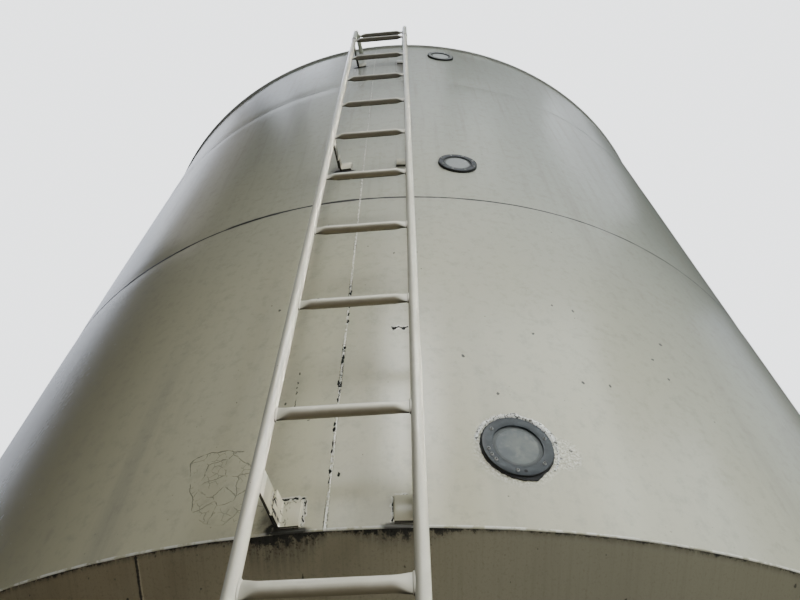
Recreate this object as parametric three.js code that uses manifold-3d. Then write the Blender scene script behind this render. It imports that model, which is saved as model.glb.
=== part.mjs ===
// Hopper bin: a round bin of welded steel plate on four legs, with a cone and a slide gate below,
// a low cone roof, three sight windows and a wall ladder.
// Millimetres, +Z up, ground at z = 0. Azimuths are degrees round the bin's axis, from the ladder
// side (-Y) towards +X, and distances from the axis are radii.

import * as THREE from "three";
import { mergeVertices } from "three/addons/utils/BufferGeometryUtils.js";
import Module from "manifold-3d";

const wasm = await Module();
wasm.setup();

// Bin body
const shellRadius = 1550; // outside
const plateThickness = 5; // shell, cone and outlet neck
const junctionHeight = 2150; // where the shell meets the cone
const courses = [
  { name: "lower", height: 1120 },
  { name: "middle", height: 1130 },
  { name: "upper", height: 565 },
];
const shellSeamAzimuth = -1.25; // one of the two upright welds, behind the ladder
const coneSlope = 45;
const coneSeamAzimuth = -13.2;
const outletRadius = 150;

// Roof and its openings
const roofSlope = 20;
const roofThickness = 4;
const roofOverhang = 9; // drip edge past the shell
const fillRadius = 250;
const fillHeight = 110; // above the roof's inner edge
const fillTail = 20; // below it, inside the roof
const hatchRadius = 225;
const hatchHeight = 80;
const hatchDistance = 1000; // from the bin's axis, in line with the ladder
const collarThickness = 4;
const lidThickness = 3;
const lidOverlap = 12; // how far a lid reaches past its collar
const lidSkirt = 24;
const fillLidRise = 45;

// Outlet
const neckLength = 118;
const flangeWidth = 55;
const flangeThickness = 10;
const gateSize = new THREE.Vector3(440, 420, 40);
const bladeWidth = 330;
const bladeThickness = 5;
const bladeReach = 265; // from the axis to the pull handle
const handleSize = new THREE.Vector3(5, 180, 46);

// Legs
const legAzimuths = { front_right: 45, back_right: 135, back_left: 225, front_left: 315 };
const legSide = 100;
const legWall = 5;
const legInset = 15; // from the shell's outside to the leg's outer face
const footPlateSide = 220;
const footPlateThickness = 12;
const gussetThickness = 8;
const gussetDrop = 330; // along the leg
const gussetReach = 170; // along the cone, measured level

// Sight windows
const windowPlaces = {
  lower: { azimuth: 10.9, height: 162 }, // above the junction
  middle: { azimuth: 10.4, height: 1363 },
  upper: { azimuth: 10.9, height: 2653 },
};
const windowRingRadius = 65;
const windowHoleRadius = 46;
const windowRingProud = 7;
const paneRadius = 56;
const paneThickness = 3;
const paneSetOff = 0.8; // from the shell's crown to the back of the pane

// Ladder
const railDiameter = 21.3;
const railSpacing = 246;
const railDistance = 1660; // from the axis, square to the ladder
const railTop = 2765; // centre of the level return at the top, above the junction
const railBend = 60; // centre line radius
const railReturnHalfSpacing = 110; // where the returns meet the shell
const ladderFootSide = 50;
const ladderFootThickness = 6;
const rungPitch = 300;
const firstRungHeight = 197; // above the ground
const rungCount = 16; // at the regular pitch, below the top rung
const topRungSetBack = 30; // behind the rails' front line
const rungFlatLength = 30; // over which a rung's end is pressed flat
const rungFlatWidth = 7;
const rungFlatHeight = 29;

// Ladder brackets
const bracketHeights = { lower: 7, middle: 1335, upper: 2500 }; // their undersides, above the junction
const bracketHeight = 48;
const bracketThickness = 5;
const clipWidth = 36;
const clipDepth = 38;
const barHeight = 42;
const barSetOff = 8; // from the shell to the bar's end
const weldLap = 1; // how far the bar and the clip run into each other

// Making
const roundSegments = 90;
const fineSegments = 360;
const smallSegments = 32;
const windowSegments = 24;
const tubeSides = 12;
const bendSteps = 7;
const rungSides = 10;
const gap = 0.3; // between pieces cut to fit each other
const margin = 10; // how far a cutter, or a piece to be cut, runs past the cut

// Sizes worked out from those above
const rad = THREE.MathUtils.degToRad;
const shellHeight = courses.reduce((sum, course) => sum + course.height, 0);
const shellTop = junctionHeight + shellHeight;
const outletTop = junctionHeight - (shellRadius - outletRadius) * Math.tan(rad(coneSlope));
const neckBottom = outletTop - neckLength;
const frontReach = railDistance + ladderFootSide / 2;
const backReach = shellRadius + roofOverhang;
const axisY = (frontReach - backReach) / 2; // puts the origin in the middle of the bin's plan

const paint = { color: 0xb9b5a4, roughness: 0.45, metalness: 0 };
const paintedShell = new THREE.MeshStandardMaterial(paint);
const paintedCone = new THREE.MeshStandardMaterial({ ...paint, color: 0x8b8573 });
const paintedRoof = new THREE.MeshStandardMaterial({ ...paint, roughness: 0.55 });
const paintedLadder = new THREE.MeshStandardMaterial({ ...paint, color: 0xd2cdbb });
const paintedFrame = new THREE.MeshStandardMaterial({ ...paint, color: 0xa39e8c });
const paintedRing = new THREE.MeshStandardMaterial({ color: 0x45474b, roughness: 0.5, metalness: 0 });
const zincPlate = new THREE.MeshStandardMaterial({ color: 0x8f9294, roughness: 0.5, metalness: 1 });
const cloudyPane = new THREE.MeshStandardMaterial({ color: 0x8c8f8a, roughness: 0.3, metalness: 0 });

const bin = new THREE.Group();
bin.position.y = axisY;

function addPiece(name, solid, material) {
  const mesh = new THREE.Mesh(geometryOf(solid), material);
  mesh.name = name;
  bin.add(mesh);
}

// The closed solid of a three.js geometry, moved by a matrix
function solidOf(geometry, matrix = new THREE.Matrix4()) {
  const bare = new THREE.BufferGeometry();
  bare.setAttribute("position", geometry.getAttribute("position").clone());
  bare.setIndex(geometry.index);
  bare.applyMatrix4(matrix);
  const merged = mergeVertices(bare, 1e-3);
  return new wasm.Manifold(
    new wasm.Mesh({
      numProp: 3,
      vertProperties: merged.attributes.position.array,
      triVerts: new Uint32Array(merged.index.array),
    }),
  );
}

function geometryOf(solid) {
  const mesh = solid.getMesh();
  const geometry = new THREE.BufferGeometry();
  geometry.setAttribute("position", new THREE.BufferAttribute(mesh.vertProperties, 3));
  geometry.setIndex(new THREE.BufferAttribute(mesh.triVerts, 1));
  geometry.computeVertexNormals();
  return geometry;
}

// A profile of [radius, height] points turned about Z. It runs upwards on its outer side, and
// either closes on itself or starts and ends on the axis.
function turned(profile, segments = roundSegments, matrix = undefined) {
  const points = profile.map(([radius, height]) => new THREE.Vector2(radius, height));
  const geometry = new THREE.LatheGeometry(points, segments).rotateX(Math.PI / 2);
  return solidOf(geometry, matrix);
}

function ring(outer, inner, bottom, top, segments = roundSegments, matrix = undefined) {
  const profile = [
    [outer, bottom],
    [outer, top],
    [inner, top],
    [inner, bottom],
    [outer, bottom],
  ];
  return turned(profile, segments, matrix);
}

function disc(radius, bottom, top, segments = smallSegments, matrix = undefined) {
  const profile = [
    [0, bottom],
    [radius, bottom],
    [radius, top],
    [0, top],
  ];
  return turned(profile, segments, matrix);
}

function box(width, depth, height, x, y, z, matrix = new THREE.Matrix4()) {
  const place = new THREE.Matrix4().makeTranslation(x, y, z).premultiply(matrix);
  return solidOf(new THREE.BoxGeometry(width, depth, height), place);
}

// A frame on the outside of a round wall: its -Y points away from the axis
function onWall(azimuth, radius, height) {
  return new THREE.Matrix4()
    .makeRotationZ(rad(azimuth))
    .multiply(new THREE.Matrix4().makeTranslation(0, -radius, height));
}

// A tall slice of space between two azimuths, kept half a gap inside both
function slice(from, to) {
  const reach = 3 * shellRadius;
  const tall = 2 * shellTop;
  const direction = (azimuth) => new THREE.Vector2(Math.sin(rad(azimuth)), -Math.cos(rad(azimuth)));
  const apex = direction((from + to) / 2).multiplyScalar(gap / 2 / Math.sin(rad(to - from) / 2));
  const rays = [0, 0.25, 0.5, 0.75, 1].map((share) => {
    return direction(from + share * (to - from)).multiplyScalar(reach).add(apex);
  });
  const outline = new THREE.Shape([apex, ...rays]);
  return solidOf(new THREE.ExtrudeGeometry(outline, { depth: tall, bevelEnabled: false }));
}

// A curve through stations, one step to each stretch, so that a long straight takes one step
class StationCurve extends THREE.Curve {
  constructor(stations) {
    super();
    this.stations = stations;
  }

  getPointAt(share) {
    const last = this.stations.length - 1;
    return this.stations[Math.round(share * last)].clone();
  }

  getTangentAt(share) {
    const last = this.stations.length - 1;
    const i = Math.round(share * last);
    const before = this.stations[Math.max(i - 1, 0)];
    const here = this.stations[i];
    const after = this.stations[Math.min(i + 1, last)];
    const arriving = here.clone().sub(before).normalize();
    const leaving = after.clone().sub(here).normalize();
    return arriving.add(leaving).normalize();
  }
}

function tube(stations, radius, sides) {
  const section = new THREE.Shape();
  for (let i = 0; i < sides; i++) {
    const angle = (2 * Math.PI * i) / sides;
    const x = radius * Math.cos(angle);
    const y = radius * Math.sin(angle);
    if (i === 0) section.moveTo(x, y);
    else section.lineTo(x, y);
  }
  const geometry = new THREE.ExtrudeGeometry(section, {
    steps: stations.length - 1,
    extrudePath: new StationCurve(stations),
    bevelEnabled: false,
  });
  return solidOf(geometry);
}

// Heights of the roof's underside and outside at a radius
function roofUnder(radius) {
  return shellTop + gap + (shellRadius - radius) * Math.tan(rad(roofSlope));
}

function roofOver(radius) {
  return roofUnder(radius) + roofThickness / Math.cos(rad(roofSlope));
}

// Everything inside the shell's outside, for cutting pieces that sit on it
const wallSpace = disc(shellRadius + gap, 0, 2 * shellTop, fineSegments);

function addShell() {
  const holes = Object.values(windowPlaces).map(({ azimuth, height }) => {
    const place = onWall(azimuth, shellRadius, junctionHeight + height).multiply(
      new THREE.Matrix4().makeRotationX(Math.PI / 2),
    );
    return disc(windowHoleRadius, -plateThickness - margin, margin, windowSegments, place);
  });
  let bottom = junctionHeight;
  for (const course of courses) {
    const top = bottom + course.height;
    let plates = ring(shellRadius, shellRadius - plateThickness, bottom, top);
    for (const hole of holes) plates = plates.subtract(hole);
    const right = slice(shellSeamAzimuth, shellSeamAzimuth + 180);
    const left = slice(shellSeamAzimuth + 180, shellSeamAzimuth + 360);
    addPiece(`shell_${course.name}_right`, plates.intersect(right), paintedShell);
    addPiece(`shell_${course.name}_left`, plates.intersect(left), paintedShell);
    bottom = top;
  }
}

function addCone() {
  const levelThickness = plateThickness / Math.sin(rad(coneSlope));
  const cone = turned([
    [outletRadius, outletTop],
    [shellRadius, junctionHeight],
    [shellRadius - levelThickness, junctionHeight],
    [outletRadius - levelThickness, outletTop],
    [outletRadius, outletTop],
  ]);
  ["front_right", "back", "front_left"].forEach((place, i) => {
    const from = coneSeamAzimuth + 120 * i;
    addPiece(`cone_${place}`, cone.intersect(slice(from, from + 120)), paintedCone);
  });
}

function addOutlet() {
  const inside = outletRadius - plateThickness;
  addPiece("outlet_neck", ring(outletRadius, inside, neckBottom, outletTop, smallSegments), paintedCone);
  const flange = ring(
    outletRadius + flangeWidth,
    outletRadius + gap,
    neckBottom,
    neckBottom + flangeThickness,
    smallSegments,
  );
  addPiece("outlet_flange", flange, paintedFrame);

  const gateMiddle = neckBottom - gateSize.z / 2;
  const slotStart = -bladeWidth / 2 - gap;
  const slotLength = gateSize.x / 2 - slotStart + margin;
  const slot = box(
    slotLength,
    bladeWidth + 2 * gap,
    bladeThickness + 2 * gap,
    slotStart + slotLength / 2,
    0,
    gateMiddle,
  );
  const frame = box(gateSize.x, gateSize.y, gateSize.z, 0, 0, gateMiddle)
    .subtract(disc(inside, gateMiddle - gateSize.z, gateMiddle + gateSize.z))
    .subtract(slot);
  addPiece("slide_gate_frame", frame, paintedFrame);

  const bladeLength = bladeReach + bladeWidth / 2;
  const bladeMiddle = bladeReach - bladeLength / 2;
  const blade = box(bladeLength, bladeWidth, bladeThickness, bladeMiddle, 0, gateMiddle);
  const handle = box(
    handleSize.x,
    handleSize.y,
    handleSize.z,
    bladeReach - handleSize.x / 2,
    0,
    gateMiddle - handleSize.z / 2 + bladeThickness / 2,
  );
  addPiece("slide_gate_blade", blade.add(handle), zincPlate);
}

function addRoof() {
  const edge = shellRadius + roofOverhang;
  const inner = fillRadius + gap;
  const roof = turned([
    [edge, roofUnder(edge)],
    [edge, roofOver(edge)],
    [inner, roofOver(inner)],
    [inner, roofUnder(inner)],
    [edge, roofUnder(edge)],
  ]);
  const onRoof = new THREE.Matrix4()
    .makeTranslation(0, -hatchDistance, roofOver(hatchDistance))
    .multiply(new THREE.Matrix4().makeRotationX(rad(roofSlope)));
  const hatchInside = hatchRadius - collarThickness;
  const plates = roof.subtract(disc(hatchInside, -6 * margin, 6 * margin, smallSegments, onRoof));
  addPiece("roof_front", plates.intersect(slice(-90, 90)), paintedRoof);
  addPiece("roof_back", plates.intersect(slice(90, 270)), paintedRoof);

  const fillTop = roofOver(fillRadius) + fillHeight;
  const fillBottom = roofUnder(fillRadius) - fillTail;
  const fillInside = fillRadius - collarThickness;
  addPiece("fill_collar", ring(fillRadius, fillInside, fillBottom, fillTop, smallSegments), paintedRoof);
  const lidRadius = fillRadius + lidOverlap;
  const fillLid = turned(
    [
      [0, fillTop + fillLidRise],
      [fillRadius, fillTop],
      [lidRadius - lidThickness, fillTop],
      [lidRadius - lidThickness, fillTop - lidSkirt],
      [lidRadius, fillTop - lidSkirt],
      [lidRadius, fillTop + lidThickness],
      [0, fillTop + lidThickness + fillLidRise],
    ],
    smallSegments,
  );
  addPiece("fill_lid", fillLid, paintedRoof);

  const roofSpace = turned(
    [
      [0, junctionHeight],
      [edge, junctionHeight],
      [edge, roofOver(edge) + gap],
      [0, roofOver(0) + gap],
    ],
    fineSegments,
  );
  const collar = ring(hatchRadius, hatchInside, -6 * margin, hatchHeight, smallSegments, onRoof);
  addPiece("hatch_collar", collar.subtract(roofSpace), paintedRoof);
  const hatchLidRadius = hatchRadius + lidOverlap;
  const lidUnder = hatchHeight + gap;
  const hatchLid = turned(
    [
      [0, lidUnder],
      [hatchLidRadius - lidThickness, lidUnder],
      [hatchLidRadius - lidThickness, lidUnder - lidSkirt],
      [hatchLidRadius, lidUnder - lidSkirt],
      [hatchLidRadius, lidUnder + lidThickness],
      [0, lidUnder + lidThickness],
    ],
    smallSegments,
    onRoof,
  );
  addPiece("hatch_lid", hatchLid, paintedRoof);
}

function addLegs() {
  const legMiddle = shellRadius - legInset - legSide / 2;
  const legInner = legMiddle - legSide / 2;
  const slopeRise = Math.tan(rad(coneSlope));
  const coneAt = (radius) => junctionHeight - (shellRadius - radius) * slopeRise;
  const coneSpace = turned(
    [
      [0, coneAt(0) - gap / Math.cos(rad(coneSlope))],
      [2 * shellRadius, coneAt(2 * shellRadius) - gap / Math.cos(rad(coneSlope))],
      [0, coneAt(2 * shellRadius)],
    ],
    fineSegments,
  );

  const section = new THREE.Shape();
  const half = legSide / 2;
  section.moveTo(-half, -half).lineTo(half, -half).lineTo(half, half).lineTo(-half, half);
  const hollow = new THREE.Path();
  const halfHollow = half - legWall;
  hollow.moveTo(-halfHollow, -halfHollow).lineTo(-halfHollow, halfHollow);
  hollow.lineTo(halfHollow, halfHollow).lineTo(halfHollow, -halfHollow);
  section.holes.push(hollow);
  const legLength = junctionHeight - footPlateThickness;

  // The gusset's outline, in the upright plane through the leg and the bin's axis
  const gusset = new THREE.Shape();
  gusset.moveTo(-legInner, coneAt(legInner) - gussetDrop);
  gusset.lineTo(-legInner + gussetReach, coneAt(legInner - gussetReach));
  gusset.lineTo(-legInner, coneAt(legInner) + margin);
  gusset.lineTo(-legInner - legWall / 2, coneAt(legInner) + margin);
  gusset.lineTo(-legInner - legWall / 2, coneAt(legInner) - gussetDrop);
  // The outline lies in local XY. X becomes the way to the axis, Y becomes up.
  const standing = new THREE.Matrix4().makeBasis(
    new THREE.Vector3(0, 1, 0),
    new THREE.Vector3(0, 0, 1),
    new THREE.Vector3(1, 0, 0),
  );
  standing.setPosition(-gussetThickness / 2, 0, 0);

  for (const [place, azimuth] of Object.entries(legAzimuths)) {
    const round = new THREE.Matrix4().makeRotationZ(rad(azimuth));
    const atLeg = onWall(azimuth, legMiddle, footPlateThickness);
    const post = solidOf(
      new THREE.ExtrudeGeometry(section, { depth: legLength, bevelEnabled: false }),
      atLeg,
    );
    const plate = solidOf(
      new THREE.ExtrudeGeometry(gusset, { depth: gussetThickness, bevelEnabled: false }),
      standing.clone().premultiply(round),
    );
    addPiece(`leg_${place}`, post.add(plate).subtract(coneSpace), paintedFrame);

    const foot = new THREE.Mesh(
      new THREE.BoxGeometry(footPlateSide, footPlateSide, footPlateThickness),
      paintedFrame,
    );
    foot.name = `foot_plate_${place}`;
    foot.position.setFromMatrixPosition(atLeg).setZ(footPlateThickness / 2);
    foot.rotation.z = rad(azimuth);
    bin.add(foot);
  }
}

function addWindows() {
  for (const [place, { azimuth, height }] of Object.entries(windowPlaces)) {
    // Local Z points out of the wall, with 0 at the shell's outside
    const outward = onWall(azimuth, shellRadius, junctionHeight + height).multiply(
      new THREE.Matrix4().makeRotationX(Math.PI / 2),
    );
    const paneFront = paneSetOff + paneThickness;
    const frame = turned(
      [
        [windowRingRadius, -margin],
        [windowRingRadius, windowRingProud],
        [windowHoleRadius, windowRingProud],
        [windowHoleRadius, paneFront + gap],
        [paneRadius + gap, paneFront + gap],
        [paneRadius + gap, -margin],
        [windowRingRadius, -margin],
      ],
      windowSegments,
      outward,
    );
    addPiece(`window_ring_${place}`, frame.subtract(wallSpace), paintedRing);
    const pane = disc(paneRadius, paneSetOff, paneFront, windowSegments, outward);
    addPiece(`window_pane_${place}`, pane, cloudyPane);
  }
}

// A length of tube whose ends are pressed into upright blades
function rungShape(halfLength) {
  const radius = railDiameter / 2;
  const shares = [0, 0.3, 0.65, 1];
  const stations = [
    ...shares.map((share) => -halfLength + share * rungFlatLength),
    ...shares.map((share) => halfLength - (1 - share) * rungFlatLength),
  ];
  const profile = [[0, -halfLength], ...stations.map((x) => [radius, x]), [0, halfLength]];
  const points = profile.map(([r, x]) => new THREE.Vector2(r, x));
  const geometry = new THREE.LatheGeometry(points, rungSides).rotateZ(-Math.PI / 2);
  const position = geometry.getAttribute("position");
  for (let i = 0; i < position.count; i++) {
    const fromEnd = Math.min(1, (halfLength - Math.abs(position.getX(i))) / rungFlatLength);
    const flat = 1 - fromEnd * fromEnd * (3 - 2 * fromEnd);
    position.setY(i, position.getY(i) * THREE.MathUtils.lerp(1, rungFlatWidth / railDiameter, flat));
    position.setZ(i, position.getZ(i) * THREE.MathUtils.lerp(1, rungFlatHeight / railDiameter, flat));
  }
  return geometryOf(solidOf(geometry));
}

function addRung(name, geometry, back, height) {
  const rung = new THREE.Mesh(geometry, paintedLadder);
  rung.name = name;
  rung.position.set(0, -railDistance + back, height);
  bin.add(rung);
}

function addLadder() {
  const railX = railSpacing / 2;
  const top = junctionHeight + railTop;
  const wallY = -Math.sqrt(shellRadius ** 2 - railReturnHalfSpacing ** 2);
  const converge = (railX - railReturnHalfSpacing) / (railDistance + wallY);
  for (const [place, side] of Object.entries({ left: -1, right: 1 })) {
    const corner = new THREE.Vector3(side * railX, -railDistance, top);
    const inwards = new THREE.Vector3(-side * converge, 1, 0).normalize();
    const stations = [corner.clone().setZ(ladderFootThickness / 2)];
    for (let i = 0; i <= bendSteps; i++) {
      const angle = (i / bendSteps) * (Math.PI / 2);
      const rise = new THREE.Vector3(0, 0, railBend * (Math.sin(angle) - 1));
      stations.push(corner.clone().addScaledVector(inwards, railBend * (1 - Math.cos(angle))).add(rise));
    }
    stations.push(corner.clone().addScaledVector(inwards, railDistance + wallY + margin));
    const foot = box(
      ladderFootSide,
      ladderFootSide,
      ladderFootThickness,
      side * railX,
      -railDistance,
      ladderFootThickness / 2,
    );
    const rail = tube(stations, railDiameter / 2, tubeSides).subtract(wallSpace).add(foot);
    addPiece(`ladder_rail_${place}`, rail, paintedLadder);
  }

  const clear = railX - railDiameter / 2 - gap;
  const rung = rungShape(clear);
  for (let i = 0; i < rungCount; i++) {
    const number = String(i + 1).padStart(2, "0");
    addRung(`rung_${number}`, rung, 0, firstRungHeight + i * rungPitch);
  }
  const bendAngle = Math.acos(1 - topRungSetBack / railBend);
  const topHeight = top - railBend * (1 - Math.sin(bendAngle));
  const topClear = clear - converge * (topRungSetBack + rungFlatWidth);
  addRung("rung_top", rungShape(topClear), topRungSetBack, topHeight);
}

// A bracket is an angle clip on the shell, with a flat bar welded to it that carries the rail
function addBrackets() {
  const railRadius = railDiameter / 2;
  const railAzimuth = THREE.MathUtils.radToDeg(Math.atan2(railSpacing / 2, railDistance));
  const railReach = Math.hypot(railSpacing / 2, railDistance) - railRadius - gap;
  const barBack = shellRadius + barSetOff;
  for (const [place, height] of Object.entries(bracketHeights)) {
    const middle = junctionHeight + height + bracketHeight / 2;
    for (const [sideName, side] of Object.entries({ left: -1, right: 1 })) {
      const round = new THREE.Matrix4().makeRotationZ(rad(side * railAzimuth));
      const half = bracketThickness / 2;
      const bar = box(
        bracketThickness,
        railReach - barBack,
        barHeight,
        0,
        -(railReach + barBack) / 2,
        middle,
        round,
      );
      const standing = box(
        bracketThickness,
        clipDepth + margin,
        bracketHeight,
        -side * (bracketThickness - weldLap),
        -shellRadius - (clipDepth - margin) / 2,
        middle,
        round,
      );
      const flat = box(
        clipWidth,
        bracketThickness + margin,
        bracketHeight,
        -side * (half + clipWidth / 2),
        -shellRadius - (bracketThickness - margin) / 2,
        middle,
        round,
      );
      const bracket = bar.add(standing).add(flat).subtract(wallSpace);
      addPiece(`ladder_bracket_${place}_${sideName}`, bracket, paintedLadder);
    }
  }
}

addShell();
addCone();
addOutlet();
addRoof();
addLegs();
addWindows();
addLadder();
addBrackets();

export default bin;
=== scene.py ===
import math
from functools import partial
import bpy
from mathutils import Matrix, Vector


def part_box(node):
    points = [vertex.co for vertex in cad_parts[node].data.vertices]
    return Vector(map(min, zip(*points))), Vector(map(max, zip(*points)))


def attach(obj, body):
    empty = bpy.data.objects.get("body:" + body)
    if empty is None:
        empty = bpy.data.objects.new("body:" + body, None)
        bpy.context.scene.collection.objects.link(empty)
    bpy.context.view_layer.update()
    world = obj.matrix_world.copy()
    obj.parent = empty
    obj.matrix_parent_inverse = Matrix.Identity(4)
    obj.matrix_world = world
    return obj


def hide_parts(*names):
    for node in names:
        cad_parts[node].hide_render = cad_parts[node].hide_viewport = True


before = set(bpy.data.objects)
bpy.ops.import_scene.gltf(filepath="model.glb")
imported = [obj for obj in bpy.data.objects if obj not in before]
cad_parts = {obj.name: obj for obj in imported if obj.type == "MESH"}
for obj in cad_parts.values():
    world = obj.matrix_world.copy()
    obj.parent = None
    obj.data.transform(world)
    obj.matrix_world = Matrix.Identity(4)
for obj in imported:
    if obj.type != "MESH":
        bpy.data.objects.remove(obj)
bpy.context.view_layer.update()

from types import SimpleNamespace

import bmesh
import bpy
import numpy as np
from mathutils import Matrix, Vector

# Hopper bin of welded and painted steel plate, seen from close under its ladder.
# Metres, +Z up, ground at z = 0. Azimuths are radians round the bin's axis, from the
# ladder side (-Y) towards +X. The sizes below are read from the solids of the frame.


def nodeBox(name):
    low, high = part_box(name)
    return np.array(low), np.array(high)


lowerRight = nodeBox("shell_lower_right")
lowerLeft = nodeBox("shell_lower_left")
axisY = (lowerRight[0][1] + lowerLeft[1][1]) / 2
shellRadius = (lowerLeft[1][1] - lowerRight[0][1]) / 2
junctionZ = lowerRight[0][2]
midSeamZ = lowerRight[1][2]
upperSeamZ = nodeBox("shell_middle_right")[1][2]
shellTopZ = nodeBox("shell_upper_right")[1][2]
shellSeam = math.radians(-1.25)
coneSeam = math.radians(-13.2)
coneSlope = math.radians(45)
plateThickness = 0.005
fitGap = 0.0003  # between parts that fit into each other
levels = ("lower", "middle", "upper")
sides = {"left": -1, "right": 1}
plumb = np.eye(3)  # the axes of what stands upright
upwards = plumb[2]


def windowPlace(level):  # azimuth and height of a sight window's middle
    low, high = nodeBox("window_pane_" + level)
    middle = (low + high) / 2
    return math.atan2(middle[0], axisY - middle[1]), middle[2]


windows = {level: windowPlace(level) for level in levels}


# Points at an azimuth, a radius and a height
def roundPoint(azimuth, radius, height):
    azimuth, radius, height = np.broadcast_arrays(azimuth, radius, height)
    return np.stack([radius * np.sin(azimuth), axisY - radius * np.cos(azimuth), height], axis=-1)


def outOf(azimuth):  # unit vectors straight out of a round wall
    azimuth = np.asarray(azimuth, float)
    return np.stack([np.sin(azimuth), -np.cos(azimuth), np.zeros_like(azimuth)], axis=-1)


def roundWay(azimuth):  # unit vectors along a round wall, towards larger azimuths
    azimuth = np.asarray(azimuth, float)
    return np.stack([np.cos(azimuth), np.sin(azimuth), np.zeros_like(azimuth)], axis=-1)


# Local points (along the wall, up, out of it) placed at a spot of the wall
def onWall(local, azimuth, radius, height):
    basis = np.stack([roundWay(azimuth), upwards, outOf(azimuth)])
    return roundPoint(azimuth, radius, height) + local @ basis


# A patch is (points, quads, caps): an array of points, an array of four corners a face, and
# a list of faces with other numbers of corners.

# Quads over a grid of rows and columns, joined round where a direction closes on itself
def gridQuads(rows, columns, wrapRows=False, wrapColumns=False):
    i = np.arange(rows if wrapRows else rows - 1)[:, None]
    j = np.arange(columns if wrapColumns else columns - 1)[None, :]
    nextRow, nextColumn = (i + 1) % rows, (j + 1) % columns
    corners = (i * columns + j, i * columns + nextColumn, nextRow * columns + nextColumn,
               nextRow * columns + j)
    return np.stack(corners, axis=-1).reshape(-1, 4)


# A closed outline carried along stations, as an array of stations by corners by 3
def loft(outlines, closed=False):
    stations, corners = outlines.shape[:2]
    quads = gridQuads(stations, corners, wrapRows=closed, wrapColumns=True)
    ends = [0, (stations - 1) * corners]
    caps = [] if closed else [list(range(start, start + corners)) for start in ends]
    return outlines.reshape(-1, 3), quads, caps


# A profile of (radius, height) turned round its own axis: x = r cos, y = r sin, z = height
def turned(profile, turns=48, start=0.0):
    profile = np.asarray(profile, float)
    angle = start + np.linspace(0, 2 * math.pi, turns, endpoint=False)
    radius, height = profile[:, :1], profile[:, 1:]
    return np.stack([radius * np.cos(angle), radius * np.sin(angle),
                     np.broadcast_to(height, (len(profile), turns))], axis=-1)


# Directions round a circle in the first two axes: (cos, sin, 0)
def circle(count):
    angle = np.linspace(0, 2 * math.pi, count, endpoint=False)
    return np.stack([np.cos(angle), np.sin(angle), np.zeros(count)], axis=-1)


# A round tube or ring about the third axis of a basis, from a low to a high end
def tube(centre, outer, inner, low, high, basis=plumb):
    section = [[outer, low], [outer, high], [inner, high], [inner, low]]
    return loft(centre + turned(section, 96) @ basis, closed=True)


# A round rod along a path: a circle square to the path at each of its points
def rod(path, radius, corners, reference):
    steps = np.diff(path, axis=0)
    steps /= np.linalg.norm(steps, axis=1, keepdims=True)
    forward = np.concatenate([steps[:1], steps[:-1] + steps[1:], steps[-1:]])
    forward /= np.linalg.norm(forward, axis=1, keepdims=True)
    side = reference - (forward @ reference)[:, None] * forward
    side /= np.linalg.norm(side, axis=1, keepdims=True)
    other = np.cross(forward, side)
    angle = np.linspace(0, 2 * math.pi, corners, endpoint=False)[None, :, None]
    ring = np.cos(angle) * side[:, None] + np.sin(angle) * other[:, None]
    return loft(path[:, None] + radius * ring)


# Values that wander evenly about 1, by interpolation between random ones
def wandering(rng, count, amount, closed, every=4):
    knots = max(count // every, 4)
    values = 1 + amount * rng.uniform(-1, 1, knots)
    if closed:
        values[-1] = values[0]
    return np.interp(np.linspace(0, knots - 1, count, endpoint=not closed), np.arange(knots), values)


weldBead = {"corners": 7, "sink": 0.0012, "width wander": 0.16, "height wander": 0.28}


# A weld bead along a path: half an ellipse, across the seam and out of the plate, whose width
# and height wander a little from station to station, with its flat side sunk in the plate
def bead(path, across, out, width, height, rng, closed=False):
    count = len(path)
    widths = width / 2 * wandering(rng, count, weldBead["width wander"], closed)
    heights = height * wandering(rng, count, weldBead["height wander"], closed)
    angle = np.linspace(0, math.pi, weldBead["corners"])
    aside = np.cos(angle)[None, :, None] * widths[:, None, None]
    rise = np.sin(angle)[None, :, None] * heights[:, None, None] - weldBead["sink"]
    across = np.broadcast_to(across, path.shape)
    out = np.broadcast_to(out, path.shape)
    return loft(path[:, None] + aside * across[:, None] + rise * out[:, None], closed)


# A closed bead in the corner between two faces, with its flat side square to the middle of the
# directions away and up
def fillet(path, away, up, width, height, rng, basis=plumb):
    across, out = (away - up) / math.sqrt(2) @ basis, (away + up) / math.sqrt(2) @ basis
    return bead(path, across, out, width, height, rng, closed=True)


# A closed bead round the bin where it turns into or out of the cone, facing half-way between them
def bendBead(azimuth, radius, height, sizes, rng):
    half = coneSlope / 2
    out = outOf(azimuth) * math.cos(half) - upwards * math.sin(half)
    across = outOf(azimuth) * math.sin(half) + upwards * math.cos(half)
    return bead(roundPoint(azimuth, radius, height), across, out, *sizes, rng, closed=True)


# A flat outline with its third coordinate, which is zero
def inPlane(outline):
    return np.concatenate([outline, np.zeros((len(outline), 1))], axis=1)


# A closed flat outline in the first two axes of a basis, given a thickness along the third
def plate(outline, thickness, centre, basis):
    outline = np.asarray(outline, float)
    depth = np.array([-thickness / 2, thickness / 2])
    local = np.concatenate([np.broadcast_to(outline, (2, len(outline), 2)),
                            np.broadcast_to(depth[:, None, None], (2, len(outline), 1))], axis=-1)
    return loft(np.asarray(centre) + local @ np.asarray(basis, float))


# An oblong with round corners, as points in order round it
def roundedOblong(width, height, radius, steps=4):
    angle = np.linspace(0, math.pi / 2, steps)
    corner = radius * np.stack([np.cos(angle), np.sin(angle)], axis=-1)
    turns = [np.array([[c, s], [-s, c]]) for c, s in ((1, 0), (0, 1), (-1, 0), (0, -1))]
    inner = np.array([width / 2 - radius, height / 2 - radius])
    signs = np.array([[1, 1], [-1, 1], [-1, -1], [1, -1]])
    return np.concatenate([corner @ turn + inner * sign for turn, sign in zip(turns, signs)])


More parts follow.
